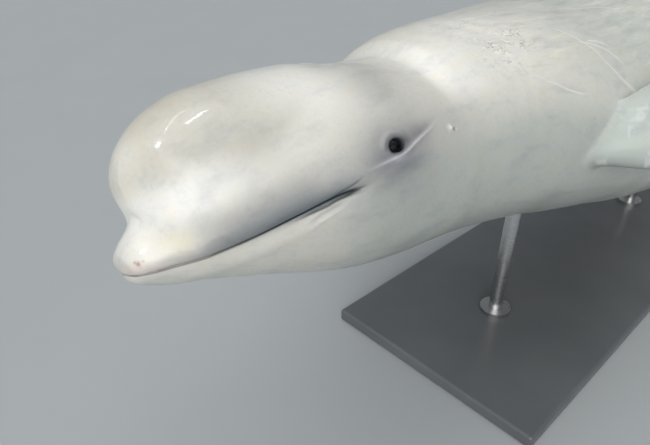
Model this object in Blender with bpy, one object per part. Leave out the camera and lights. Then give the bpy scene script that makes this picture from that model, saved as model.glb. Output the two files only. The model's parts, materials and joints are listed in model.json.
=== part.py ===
"""Beluga whale: a still, life-size display model on a plain stand.

The whale is first modelled straight along X, in its own frame: beak tip at x = 0, tail
towards +X, left side towards -Y, middle of the trunk near z = 0. The finished pieces are
then bent into the swimming pose and set on the stand. Metres, +Z up, with the origin at
the centre of the underside of the stand's base.
"""
import math

import bmesh
import bpy
import numpy as np

# Overall sizes
LENGTH = 3.80
GAP = 0.0003

# Profile of beak, melon and crown in the middle plane: station, x, z
CROWN = [(0.000, 0.002, 0.004), (0.010, 0.003, 0.020), (0.025, 0.016, 0.037), (0.050, 0.042, 0.060),
         (0.075, 0.034, 0.080), (0.100, 0.033, 0.104), (0.130, 0.045, 0.136), (0.165, 0.073, 0.166),
         (0.205, 0.117, 0.190), (0.250, 0.170, 0.201), (0.300, 0.238, 0.201), (0.360, 0.320, 0.197),
         (0.420, 0.400, 0.180), (0.500, 0.500, 0.165)]
# Where each ring of the head meets the chin: station, x
CHIN_X = [(0.000, 0.002), (0.010, 0.008), (0.025, 0.026), (0.050, 0.060), (0.060, 0.092),
          (0.075, 0.106), (0.100, 0.124), (0.165, 0.180), (0.250, 0.258), (0.400, 0.400), (0.500, 0.500)]
# Height of the back behind the head: x, z
BACK = [(0.42, 0.174), (0.50, 0.165), (0.545, 0.188), (0.60, 0.199), (0.76, 0.210), (1.00, 0.234),
        (1.30, 0.278), (1.65, 0.304), (2.05, 0.283), (2.50, 0.212), (2.90, 0.142), (3.25, 0.088),
        (3.55, 0.045), (3.80, 0.007)]
# Height of chin, throat and belly: x, z
BELLY = [(0.002, -0.004), (0.008, -0.018), (0.026, -0.030), (0.052, -0.042), (0.10, -0.058),
         (0.20, -0.098), (0.30, -0.140), (0.40, -0.167), (0.50, -0.181), (0.70, -0.212),
         (0.95, -0.252), (1.30, -0.310), (1.65, -0.345), (2.05, -0.318), (2.50, -0.235),
         (2.90, -0.155), (3.25, -0.098), (3.55, -0.050), (3.80, -0.007)]
# Half width of jaw and trunk: station, y
WIDTH = [(0.000, 0.010), (0.010, 0.034), (0.025, 0.050), (0.050, 0.069), (0.060, 0.084),
         (0.075, 0.090), (0.100, 0.096), (0.130, 0.107), (0.200, 0.131), (0.300, 0.161),
         (0.400, 0.182), (0.500, 0.190), (0.600, 0.206), (0.760, 0.244), (1.000, 0.284),
         (1.300, 0.323), (1.650, 0.336), (2.050, 0.300), (2.500, 0.212), (2.900, 0.130),
         (3.250, 0.075), (3.550, 0.043), (3.800, 0.009)]
# Half width of the melon: station, y
MELON = [(0.050, 0.000), (0.056, 0.022), (0.070, 0.042), (0.090, 0.060), (0.120, 0.080),
         (0.165, 0.105), (0.220, 0.125), (0.300, 0.142), (0.400, 0.148), (0.500, 0.120), (0.620, 0.000)]
# Share of a ring, from its top, that lies above the jaw's oval: station, share
JAW_TOP = [(0.05, 0.0), (0.06, 0.06), (0.10, 0.235), (0.165, 0.350), (0.20, 0.352), (0.25, 0.29),
           (0.30, 0.21), (0.36, 0.095), (0.42, 0.0), (0.50, 0.0)]
# Share of a ring, from its top, that the melon's oval covers: station, share
MELON_FOOT = [(0.05, 0.29), (0.06, 0.37), (0.10, 0.67), (0.20, 0.86), (0.40, 0.81), (0.62, 0.70)]
MELON_SPAN = (0.05, 0.62)
HEAD_END = 0.50
OVAL_BLEND = 5.0

# Pose, in degrees. Negative roll lifts the left side, positive pitch lowers the tail.
BODY_PITCH = 5.7
BODY_ROLL = -11.0
NECK_PITCH = -8.0
NECK_ROLL = -13.0
NECK_BEND = (0.46, 0.95)
TAIL_PITCH = 8.0
TAIL_BEND = (1.90, 3.50)
LEVEL_X = 1.50
AXIS_HEIGHT = 0.66
SPINE_STEP = 0.005
SPINE_OVERRUN = 0.20

# Nodes of the trunk: name, start and end over x, number of rings
TRUNK = [("neck", 0.50, 0.72, 6), ("chest", 0.72, 1.30, 10), ("torso", 1.30, 1.94, 9),
         ("loin", 1.94, 2.72, 10), ("tail_stock", 2.72, 3.80, 13)]
TRUNK_HALF_RING = 18
HEAD_HALF_RING = 23
BEAK_RINGS = 7
MELON_RINGS = 18
CHEEK_RINGS = 7

# Mouth line: x, z, from before the beak to the mouth's corner
MOUTH = [(-0.050, -0.003), (0.000, -0.004), (0.031, -0.008), (0.075, -0.011), (0.118, -0.009),
         (0.194, -0.001), (0.260, 0.004), (0.2925, 0.002)]
# Rear end of the lower jaw: z, x, from the mouth's corner down through the throat
JAW_END = [(-0.260, 0.380), (-0.180, 0.374), (-0.100, 0.352), (-0.040, 0.320), (-0.010, 0.302), (0.001, 0.2935)]
CUT_STEPS = 18
LIP_GROOVE_WIDTH = 0.004
LIP_GROOVE_DEPTH = 0.003
# Foot of the melon: x, z, from before the beak; it ends in an arc up to the crown
MELON_LINE = [(-0.050, 0.0615), (0.046, 0.0615), (0.110, 0.068), (0.180, 0.080), (0.250, 0.098)]
MELON_ARC = (0.250, 0.198, 0.100)

# Eyes, ear openings and blowhole
EYE_X = 0.357
EYE_Z = 0.036
EYE_RADIUS = 0.014
EYE_DEPTH = 0.0093
LID_RADIUS = 0.0135
LID_THICKNESS = 0.0038
LID_SHAPE = (1.12, 0.92)
LID_SINK = 0.001
LID_SIDES = 18
LID_BEAD_SIDES = 7
EAR_X = 0.482
EAR_Z = 0.024
EAR_RADIUS = 0.0028
EAR_DEPTH = 0.006
BLOWHOLE_X = 0.398
BLOWHOLE_RADIUS = 0.026
BLOWHOLE_SLIT = 0.006
BLOWHOLE_DEPTH = 0.014
BLOWHOLE_SWEEP = 75.0

# Flippers: share of the span, leading edge, trailing edge, thickness, upward curl
FLIPPER = [(0.00, -0.042, 0.046, 0.058, 0.000), (0.15, -0.052, 0.052, 0.056, 0.000),
           (0.30, -0.075, 0.080, 0.050, 0.000), (0.48, -0.086, 0.110, 0.042, 0.004),
           (0.65, -0.078, 0.130, 0.033, 0.012), (0.82, -0.052, 0.130, 0.023, 0.026),
           (0.94, -0.010, 0.106, 0.015, 0.040), (1.00, 0.042, 0.050, 0.007, 0.048)]
FLIPPER_SPAN = 0.54
# Middle of each flipper's root, inside the chest
FLIPPER_ROOT = {"left": (0.797, 0.182, -0.062), "right": (0.815, 0.178, -0.100)}
# Lift above the level, sweep towards the tail, and twist that raises the trailing edge, in degrees
FLIPPER_SET = {"left": (11.6, 37.0, 86.0), "right": (-16.0, 40.0, 32.0)}

# Flukes: share of the span, leading edge x, trailing edge x, thickness, droop
FLUKE = [(0.00, 3.350, 3.797, 0.062, 0.000), (0.15, 3.440, 3.838, 0.050, 0.000),
         (0.40, 3.560, 3.885, 0.036, 0.004), (0.70, 3.705, 3.900, 0.024, 0.010),
         (0.90, 3.812, 3.890, 0.014, 0.012), (1.00, 3.862, 3.868, 0.006, 0.010)]
FLUKE_SPAN = 0.46
FLUKE_ROOT_Y = 0.004
BLADE_RINGS = 13
BLADE_HALF_RING = 8

# Low ridge along the back in place of a fin
RIDGE_START = 1.70
RIDGE_END = 2.46
RIDGE_HEIGHT = 0.020
RIDGE_HALF_WIDTH = 0.024
RIDGE_RINGS = 28
RIDGE_NOTCHES = 9

# Stand
BASE_X = 1.58
BASE_SIZE = (1.70, 0.64, 0.036)
BASE_BEVEL = 0.008
ROD_RADIUS = 0.020
ROD_X = {"front": 1.10, "rear": 2.10}
ROD_SINK = 0.035
COLLAR_RADIUS = 0.045
COLLAR_HEIGHT = 0.014

# Colour, roughness and metallic value of each kind of surface
FINISHES = {"skin": ((0.74, 0.73, 0.70, 1), 0.32, 0.0), "melon_skin": ((0.78, 0.76, 0.71, 1), 0.30, 0.0),
            "jaw_skin": ((0.72, 0.71, 0.70, 1), 0.34, 0.0), "flipper_skin": ((0.76, 0.76, 0.74, 1), 0.32, 0.0),
            "eye": ((0.012, 0.010, 0.011, 1), 0.06, 0.0), "base": ((0.10, 0.10, 0.11, 1), 0.45, 0.0),
            "steel": ((0.56, 0.57, 0.58, 1), 0.28, 1.0)}


def curve(rows, x, column=1):
    """Smooth curve through a table's rows that never overshoots them."""
    xs = np.array([row[0] for row in rows], float)
    ys = np.array([row[column] for row in rows], float)
    x = np.asarray(x, float)
    step = np.diff(xs)
    slope = np.diff(ys) / step
    tangent = np.zeros_like(ys)
    tangent[0] = slope[0]
    tangent[-1] = slope[-1]
    before = 2 * step[1:] + step[:-1]
    after = step[1:] + 2 * step[:-1]
    rising = slope[:-1] * slope[1:] > 0
    low = np.where(rising, slope[:-1], 1.0)
    high = np.where(rising, slope[1:], 1.0)
    tangent[1:-1] = np.where(rising, (before + after) / (before / low + after / high), 0.0)
    i = np.clip(np.searchsorted(xs, x, side="right") - 1, 0, len(xs) - 2)
    t = np.clip((x - xs[i]) / step[i], 0, 1)
    start = (2 * t**3 - 3 * t**2 + 1) * ys[i] + (t**3 - 2 * t**2 + t) * step[i] * tangent[i]
    end = (3 * t**2 - 2 * t**3) * ys[i + 1] + (t**3 - t**2) * step[i] * tangent[i + 1]
    return start + end


def smoothstep(low, high, x):
    t = np.clip((np.asarray(x, float) - low) / (high - low), 0, 1)
    return t * t * (3 - 2 * t)


def ring_ends(s):
    """Top and bottom point of the body's rings, which lean forward on the head."""
    on_head = s < HEAD_END
    top_x = np.where(on_head, curve(CROWN, s, 1), s)
    top_z = np.where(on_head, curve(CROWN, s, 2), curve(BACK, s))
    chin_x = np.where(on_head, curve(CHIN_X, s), s)
    return top_x, top_z, chin_x, curve(BELLY, chin_x)


def section(stations, angles):
    """Points of the right half of each ring; angle 0 is its top and pi its bottom."""
    s = np.asarray(stations, float)[:, None]
    down = (1 - np.cos(np.asarray(angles, float)[None, :])) / 2
    top_x, top_z, low_x, low_z = ring_ends(s)
    jaw_top = np.where(s < HEAD_END, curve(JAW_TOP, s), 0.0)
    jaw = np.sqrt(1 - np.clip((2 * down - 1 - jaw_top) / (1 - jaw_top), -1, 1) ** 2) * curve(WIDTH, s)
    has_melon = (s > MELON_SPAN[0]) & (s < MELON_SPAN[1])
    melon = np.sqrt(1 - np.clip(2 * down / curve(MELON_FOOT, s) - 1, -1, 1) ** 2)
    melon = melon * np.where(has_melon, curve(MELON, s), 0.0)
    y = (jaw**OVAL_BLEND + melon**OVAL_BLEND) ** (1 / OVAL_BLEND)
    return top_x + (low_x - top_x) * down + 0 * y, y, top_z + (low_z - top_z) * down + 0 * y


def half_width(x, z):
    """Half width of the body beside a point of the middle plane, found by halving."""
    low, high = 0.0, LENGTH
    for _ in range(40):
        s = (low + high) / 2
        top_x, top_z, low_x, low_z = ring_ends(np.array(s))
        share = (top_z - z) / (top_z - low_z)
        if top_x + (low_x - top_x) * share < x:
            low = s
        else:
            high = s
    angle = math.acos(1 - 2 * min(max(float(share), 0.0), 1.0))
    return float(section([s], [angle])[1][0, 0])


def side_frame(x, z, side):
    """Point on the body's side, its outward normal and the level direction along it."""
    reach = 0.004
    slope_x = (half_width(x + reach, z) - half_width(x - reach, z)) / (2 * reach)
    slope_z = (half_width(x, z + reach) - half_width(x, z - reach)) / (2 * reach)
    normal = np.array([-slope_x, side, -slope_z])
    normal = normal / np.linalg.norm(normal)
    along = np.array([1.0, side * slope_x, 0.0])
    along = along - normal * (along @ normal)
    return np.array([x, side * half_width(x, z), z]), normal, along / np.linalg.norm(along)


def spine():
    """Turn and place of the body's axis at close steps, from before the beak to past the tail."""
    x = np.arange(-SPINE_OVERRUN, LENGTH + SPINE_OVERRUN, SPINE_STEP)
    neck = 1 - smoothstep(NECK_BEND[0], NECK_BEND[1], x)
    tail = smoothstep(TAIL_BEND[0], TAIL_BEND[1], x)
    pitch = np.radians(BODY_PITCH + NECK_PITCH * neck + TAIL_PITCH * tail)
    roll = np.radians(BODY_ROLL + NECK_ROLL * neck)
    flat = np.zeros_like(x)
    along = np.stack((np.cos(pitch), flat, -np.sin(pitch)), -1)
    across = np.stack((np.sin(pitch) * np.sin(roll), np.cos(roll), np.cos(pitch) * np.sin(roll)), -1)
    frame = np.stack((along, across, np.cross(along, across)), -1)
    place = np.concatenate(([[0.0, 0.0, 0.0]], np.cumsum((along[1:] + along[:-1]) / 2 * SPINE_STEP, axis=0)))
    level = int(round((LEVEL_X + SPINE_OVERRUN) / SPINE_STEP))
    return frame, place - place[level] + np.array([LEVEL_X - BASE_X, 0.0, AXIS_HEIGHT])


SPINE_FRAME, SPINE_PLACE = spine()


def pose(points):
    """Bend points of the straight whale into the swimming pose, above the stand."""
    points = np.asarray(points, float)
    share = (points[:, 0] + SPINE_OVERRUN) / SPINE_STEP
    i = np.clip(share.astype(int), 0, len(SPINE_PLACE) - 2)
    t = (share - i)[:, None]
    place = SPINE_PLACE[i] * (1 - t) + SPINE_PLACE[i + 1] * t
    frame = SPINE_FRAME[i] * (1 - t[..., None]) + SPINE_FRAME[i + 1] * t[..., None]
    return place + frame[:, :, 1] * points[:, 1:2] + frame[:, :, 2] * points[:, 2:3]


def finish(name):
    """The Principled material of one kind of surface, made when it is first asked for."""
    colour, roughness, metallic = FINISHES[name]
    material = bpy.data.materials.new(name)
    material.use_nodes = True
    shader = material.node_tree.nodes["Principled BSDF"]
    shader.inputs["Base Color"].default_value = colour
    shader.inputs["Roughness"].default_value = roughness
    shader.inputs["Metallic"].default_value = metallic
    return material


def solid(name, vertices, faces):
    """A closed mesh object whose faces point out."""
    mesh = bpy.data.meshes.new(name)
    mesh.from_pydata([tuple(map(float, v)) for v in vertices], [], [tuple(map(int, f)) for f in faces])
    work = bmesh.new()
    work.from_mesh(mesh)
    bmesh.ops.recalc_face_normals(work, faces=work.faces)
    work.to_mesh(mesh)
    work.free()
    thing = bpy.data.objects.new(name, mesh)
    bpy.context.scene.collection.objects.link(thing)
    return thing


def tube(name, rings):
    """Closed mesh through equal rings of points, with a flat cap at each end."""
    count, around = rings.shape[:2]
    faces = [range(around), range((count - 1) * around, count * around)]
    for i in range(count - 1):
        for j in range(around):
            a, b = i * around + j, i * around + (j + 1) % around
            faces.append((a, b, b + around, a + around))
    return solid(name, rings.reshape(-1, 3), faces)


def loft(name, stations, half_ring):
    """Closed mesh through the body's rings."""
    x, y, z = section(stations, np.linspace(0, math.pi, half_ring + 1))
    right = np.stack((x, y, z), -1)
    left = np.stack((x, -y, z), -1)[:, -2:0:-1]
    return tube(name, np.concatenate((right, left), 1))


def grow(thing, amount):
    """Move a mesh's surface out along its normals, or in where the amount is negative."""
    work = bmesh.new()
    work.from_mesh(thing.data)
    work.normal_update()
    moves = [vertex.normal * amount for vertex in work.verts]
    for vertex, move in zip(work.verts, moves):
        vertex.co += move
    work.to_mesh(thing.data)
    work.free()
    return thing


def drop(things):
    for thing in things:
        bpy.data.objects.remove(thing)


def combine(thing, others, operation, solver="EXACT"):
    """Join closed pieces to a mesh, or cut them from it, in one Boolean; the pieces are used up."""
    group = bpy.data.collections.new("pieces")
    bpy.context.scene.collection.children.link(group)
    for other in others:
        group.objects.link(other)
    modifier = thing.modifiers.new("combine", "BOOLEAN")
    modifier.operation = operation
    modifier.solver = solver
    modifier.operand_type = "COLLECTION"
    modifier.collection = group
    settle(thing)
    drop(others)
    bpy.data.collections.remove(group)
    return keep_largest(thing)


def settle(thing):
    """Replace a mesh by what its modifiers make of it."""
    depsgraph = bpy.context.evaluated_depsgraph_get()
    mesh = bpy.data.meshes.new_from_object(thing.evaluated_get(depsgraph))
    thing.modifiers.clear()
    thing.data = mesh


def keep_largest(thing):
    """Keep only the closed surface with the largest area, without specks or slivers."""
    work = bmesh.new()
    work.from_mesh(thing.data)
    bmesh.ops.dissolve_degenerate(work, dist=2e-6, edges=work.edges)
    unseen = set(work.verts)
    pieces = []
    while unseen:
        edge = [unseen.pop()]
        piece = set(edge)
        while edge:
            for link in edge.pop().link_edges:
                for vertex in link.verts:
                    if vertex in unseen:
                        unseen.remove(vertex)
                        piece.add(vertex)
                        edge.append(vertex)
        faces = {face for vertex in piece for face in vertex.link_faces}
        pieces.append((sum(face.calc_area() for face in faces), piece))
    pieces.sort(key=lambda entry: entry[0])
    scrap = [vertex for _, piece in pieces[:-1] for vertex in piece]
    bmesh.ops.delete(work, geom=scrap, context="VERTS")
    work.to_mesh(thing.data)
    work.free()
    return thing


def copy(thing, name):
    twin = bpy.data.objects.new(name, thing.data.copy())
    bpy.context.scene.collection.objects.link(twin)
    return twin


def split(thing):
    """Split a mesh's faces into triangles, all quads along the same diagonal."""
    work = bmesh.new()
    work.from_mesh(thing.data)
    bmesh.ops.triangulate(work, faces=work.faces, quad_method="FIXED")
    work.to_mesh(thing.data)
    work.free()
    return thing


def bend(thing):
    """Move a straight piece's points into the pose and split its faces."""
    points = pose([tuple(vertex.co) for vertex in thing.data.vertices])
    thing.data.vertices.foreach_set("co", points.astype(np.float32).ravel())
    return split(thing)


def prism(name, outline, half_depth=0.40):
    """Outline in the middle plane, extruded to both sides of it."""
    rings = np.array([[(x, y, z) for x, z in outline] for y in (-half_depth, half_depth)])
    return tube(name, rings)


def head_stations():
    beak = np.linspace(0.0, 0.05, BEAK_RINGS)
    melon = np.linspace(0.05, 0.30, MELON_RINGS)
    cheek = np.linspace(0.30, HEAD_END - GAP / 2, CHEEK_RINGS)
    return np.concatenate((beak, melon[1:], cheek[1:]))


def trunk_stations(start, end, count):
    return np.linspace(start + GAP / 2, end - GAP / 2, count)


def ball(name, centre, radius, around=18, rows=10):
    """Round closed mesh whose poles lie on the Y axis."""
    rings = []
    for row in np.linspace(0, math.pi, rows + 1)[1:-1]:
        turn = np.linspace(0, 2 * math.pi, around, endpoint=False)
        rings.append(np.stack((np.sin(row) * np.cos(turn), np.full(around, -math.cos(row)),
                               np.sin(row) * np.sin(turn)), -1))
    return tube(name, np.array(rings) * radius + np.asarray(centre))


def eye_centre(side):
    point, normal, _ = side_frame(EYE_X, EYE_Z, side)
    return point - normal * EYE_DEPTH


def lid(side):
    """Raised, slightly long ring of skin round an eye."""
    point, normal, along = side_frame(EYE_X, EYE_Z, side)
    up = np.cross(normal, along)
    points = []
    for turn in np.linspace(0, 2 * math.pi, LID_SIDES, endpoint=False):
        spoke = along * math.cos(turn) * LID_SHAPE[0] + up * math.sin(turn) * LID_SHAPE[1]
        for bead in np.linspace(0, 2 * math.pi, LID_BEAD_SIDES, endpoint=False):
            out = spoke * (LID_RADIUS + LID_THICKNESS * math.cos(bead))
            points.append(point + out + normal * (LID_THICKNESS * math.sin(bead) - LID_SINK))
    faces = []
    for i in range(LID_SIDES):
        here, there = i * LID_BEAD_SIDES, (i + 1) % LID_SIDES * LID_BEAD_SIDES
        for j in range(LID_BEAD_SIDES):
            k = (j + 1) % LID_BEAD_SIDES
            faces.append((here + j, there + j, there + k, here + k))
    return solid("lid", points, faces)


def ear_opening(side):
    point, normal, along = side_frame(EAR_X, EAR_Z, side)
    up = np.cross(normal, along)
    rings = []
    for depth, radius in ((EAR_DEPTH, 0.4), (-EAR_DEPTH, 1.6)):
        turn = np.linspace(0, 2 * math.pi, 10, endpoint=False)[:, None]
        rings.append(point - normal * depth + (along * np.cos(turn) + up * np.sin(turn)) * EAR_RADIUS * radius)
    return tube("ear_opening", np.array(rings))


def blowhole():
    """Crescent slit across the crown, with its horns forward."""
    outline = []
    sweep = np.radians(np.linspace(-BLOWHOLE_SWEEP, BLOWHOLE_SWEEP, 13))
    for radius in (BLOWHOLE_RADIUS + BLOWHOLE_SLIT / 2, BLOWHOLE_RADIUS - BLOWHOLE_SLIT / 2):
        arc = [(BLOWHOLE_X - BLOWHOLE_RADIUS + radius * math.cos(a), radius * math.sin(a)) for a in sweep]
        outline += arc
        sweep = sweep[::-1]
    top = float(curve(CROWN, 0.419, 2))
    rings = np.array([[(x, y, z) for x, y in outline] for z in (top - BLOWHOLE_DEPTH, top + 0.05)])
    return tube("blowhole", rings)


def smooth_line(rows, steps=CUT_STEPS):
    """Close points along the smooth curve through a table's rows."""
    along = np.linspace(rows[0][0], rows[-1][0], steps)
    return [(float(a), float(b)) for a, b in zip(along, curve(rows, along))]


def lip_groove(head):
    """Shallow groove along the mouth line: a thin slab less a slightly smaller head."""
    line = smooth_line(MOUTH)
    line.append((line[-1][0] + LIP_GROOVE_WIDTH, line[-1][1]))
    upper = [(x, z + LIP_GROOVE_WIDTH / 2) for x, z in line]
    lower = [(x, z - LIP_GROOVE_WIDTH / 2) for x, z in reversed(line)]
    groove = prism("lip_groove", upper + lower)
    return combine(groove, [grow(copy(head, "inner_head"), -LIP_GROOVE_DEPTH)], "DIFFERENCE")


def jaw_outline(extra):
    """Outline of the lower jaw's share of the head, larger by a gap."""
    top = [(x, z + extra) for x, z in smooth_line(MOUTH)]
    back = [(x + extra, z) for z, x in reversed(smooth_line(JAW_END))]
    return top + back + [(MOUTH[0][0], JAW_END[0][0])]


def melon_outline(extra):
    """Outline of the melon's share of the head, larger by a gap."""
    foot = [(x, z - extra) for x, z in smooth_line(MELON_LINE)]
    x, z, radius = MELON_ARC
    turns = np.radians(np.linspace(-80, 0, CUT_STEPS // 2))
    arc = [(x + (radius + extra) * math.cos(a), z + (radius + extra) * math.sin(a)) for a in turns]
    top = z + radius
    return foot + arc + [(x + radius + extra, top), (MELON_LINE[0][0], top)]


def make_head():
    """Head, lower jaw, melon and eyes."""
    head = loft("head", head_stations(), HEAD_HALF_RING)
    groove = lip_groove(head)
    combine(head, [lid(-1), lid(1)], "UNION")
    cuts = [ball("socket", eye_centre(side), EYE_RADIUS + GAP) for side in (-1, 1)]
    cuts += [ear_opening(side) for side in (-1, 1)]
    combine(head, cuts + [blowhole()], "DIFFERENCE")
    combine(head, [groove], "DIFFERENCE")
    jaw = combine(copy(head, "lower_jaw"), [prism("jaw_share", jaw_outline(0.0))], "INTERSECT")
    combine(head, [prism("jaw_room", jaw_outline(GAP))], "DIFFERENCE")
    melon = combine(copy(head, "melon"), [prism("melon_share", melon_outline(0.0))], "INTERSECT")
    combine(head, [prism("melon_room", melon_outline(GAP))], "DIFFERENCE")
    left = ball("eye_left", eye_centre(-1), EYE_RADIUS)
    right = ball("eye_right", eye_centre(1), EYE_RADIUS)
    return {"head": (head, "skin"), "lower_jaw": (jaw, "jaw_skin"), "melon": (melon, "melon_skin"),
            "eye_left": (left, "eye"), "eye_right": (right, "eye")}


def make_trunk():
    """Neck, chest, torso, loin and tail stock, which meet at flat faces."""
    pieces = {}
    for name, start, end, count in TRUNK:
        pieces[name] = (loft(name, trunk_stations(start, end, count), TRUNK_HALF_RING), "skin")
    return pieces


def trunk_room():
    """The whole trunk in the pose, larger by a gap, for trimming what grows from it."""
    stations = np.concatenate([trunk_stations(start, end, count) for _, start, end, count in TRUNK])
    return grow(bend(loft("trunk_room", stations, TRUNK_HALF_RING)), GAP)


def foil(count):
    """Share of the chord and half thickness of a smooth foil, thickest near its front."""
    share = (1 - np.cos(np.linspace(0, math.pi, count + 1))) / 2
    body = 1.4845 * np.sqrt(share) - 0.63 * share - 1.758 * share**2 + 1.4215 * share**3 - 0.518 * share**4
    return share, body


def blade(name, rows, root, along, chord, up, span):
    """Fin lofted outwards through foils, one for each place along its span."""
    share, body = foil(BLADE_HALF_RING)
    share = np.concatenate((share, share[-2:0:-1]))
    body = np.concatenate((body, -body[-2:0:-1]))
    rings = []
    for t in np.sin(np.linspace(0, math.pi / 2, BLADE_RINGS)):
        lead, trail, thick, rise = (float(curve(rows, t, column)) for column in (1, 2, 3, 4))
        centre = np.asarray(root) + along * span * t + up * rise
        across = chord * (lead + (trail - lead) * share)[:, None]
        rings.append(centre + across + up * (body * thick)[:, None])
    return tube(name, np.array(rings))


def flipper(name, side, room):
    lift, sweep, twist = (math.radians(angle) for angle in FLIPPER_SET[name])
    along = np.array([math.sin(sweep) * math.cos(lift), side * math.cos(sweep) * math.cos(lift), math.sin(lift)])
    chord = np.array([1.0, 0.0, 0.0]) - along * along[0]
    chord = chord / np.linalg.norm(chord)
    up = np.cross(chord, along) * side
    turned = chord * math.cos(twist) + up * math.sin(twist)
    up = up * math.cos(twist) - chord * math.sin(twist)
    x, y, z = FLIPPER_ROOT[name]
    fin = bend(blade("flipper_" + name, FLIPPER, (x, side * y, z), along, turned, up, FLIPPER_SPAN))
    return combine(fin, [copy(room, "room")], "DIFFERENCE")


def fluke(name, side, room):
    along = np.array([0.0, float(side), 0.0])
    chord = np.array([1.0, 0.0, 0.0])
    up = np.array([0.0, 0.0, 1.0])
    fin = bend(blade("fluke_" + name, FLUKE, (0.0, side * FLUKE_ROOT_Y, 0.0), along, chord, up, FLUKE_SPAN))
    return combine(fin, [copy(room, "room")], "DIFFERENCE")


def ridge(room):
    """Low, slightly notched ridge along the middle of the back."""
    rings = []
    for t in np.linspace(0, 1, RIDGE_RINGS):
        x = RIDGE_START + (RIDGE_END - RIDGE_START) * t
        back = float(curve(BACK, x))
        notch = 0.85 + 0.15 * math.cos(2 * math.pi * RIDGE_NOTCHES * t)
        height = RIDGE_HEIGHT * max(math.sin(math.pi * t), 0.0) ** 0.6 * notch
        half = RIDGE_HALF_WIDTH * (0.35 + 0.65 * math.sin(math.pi * t))
        outline = [(0.0, height), (half * 0.35, height * 0.8), (half, -0.002), (half, -0.02),
                   (-half, -0.02), (-half, -0.002), (-half * 0.35, height * 0.8)]
        rings.append([(x, y, back + rise) for y, rise in outline])
    return combine(bend(tube("dorsal_ridge", np.array(rings))), [copy(room, "room")], "DIFFERENCE")


def make_fins():
    """Flippers, flukes and the ridge of the back, bent into the pose and trimmed to the trunk."""
    room = trunk_room()
    pieces = {}
    for name, side in (("left", -1), ("right", 1)):
        pieces["flipper_" + name] = (flipper(name, side, room), "flipper_skin")
        pieces["fluke_" + name] = (fluke(name, side, room), "skin")
    pieces["dorsal_ridge"] = (ridge(room), "skin")
    drop([room])
    return pieces


def pillar(name, x, bottom, top, radius, around=32):
    """Upright round bar."""
    turn = np.linspace(0, 2 * math.pi, around, endpoint=False)
    rings = [np.stack((x + radius * np.cos(turn), radius * np.sin(turn), np.full(around, z)), -1)
             for z in (bottom, top)]
    return tube(name, np.array(rings))


def belly_height(x):
    """World x and height of the lowest point of the body's ring at one station."""
    angles = np.linspace(0, math.pi, 181)
    ring_x, y, z = section([x], angles)
    points = pose(np.concatenate([np.stack((ring_x[0], side * y[0], z[0]), -1) for side in (-1, 1)]))
    near = points[abs(points[:, 1]) < ROD_RADIUS]
    low = near[np.argmin(near[:, 2])]
    return float(low[0]), float(low[2])


def make_stand(pieces):
    """Flat base with two short rods, each sunk in a fitting socket in the belly."""
    width, depth, height = BASE_SIZE
    outline = [(-width / 2, -depth / 2), (width / 2, -depth / 2), (width / 2, depth / 2), (-width / 2, depth / 2)]
    base = tube("stand_base", np.array([[(x, y, z) for x, y in outline] for z in (0.0, height)]))
    bevel = base.modifiers.new("bevel", "BEVEL")
    bevel.width = BASE_BEVEL
    bevel.segments = 3
    settle(base)
    stand = {"stand_base": (base, "base")}
    for name, station in ROD_X.items():
        x, belly = belly_height(station)
        top = belly + ROD_SINK
        carrier = "chest" if name == "front" else "loin"
        combine(pieces[carrier][0], [pillar("socket", x, 0.0, top + GAP, ROD_RADIUS + GAP)], "DIFFERENCE")
        collar = pillar("stand_collar_" + name, x, height + GAP, height + COLLAR_HEIGHT, COLLAR_RADIUS)
        combine(collar, [pillar("bore", x, 0.0, 1.0, ROD_RADIUS + GAP)], "DIFFERENCE")
        rod = pillar("stand_rod_" + name, x, height + GAP, top, ROD_RADIUS)
        stand["stand_rod_" + name] = (rod, "steel")
        stand["stand_collar_" + name] = (collar, "steel")
    return stand


def main():
    for thing in list(bpy.data.objects):
        bpy.data.objects.remove(thing)
    pieces = make_head()
    pieces.update(make_trunk())
    for thing, _ in pieces.values():
        bend(thing)
    pieces.update(make_fins())
    pieces.update(make_stand(pieces))
    for thing, surface in pieces.values():
        split(thing)
        thing.data.materials.clear()
        thing.data.materials.append(finish(surface))
        thing.data.shade_smooth()
        thing.data.set_sharp_from_angle(angle=math.radians(35))


main()
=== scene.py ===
"""Beluga whale on its display stand: the looks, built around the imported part.

One seamless skin takes the place of all the nodes of flesh. It is made straight along X, in
the whale's own frame (beak tip at x = 0, left side towards -Y), from the same named sizes as
the solids, and is then bent into the pose. Metres, +Z up.
"""
import json
import math

import bpy
import numpy as np
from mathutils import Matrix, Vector
from mathutils.kdtree import KDTree

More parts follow.
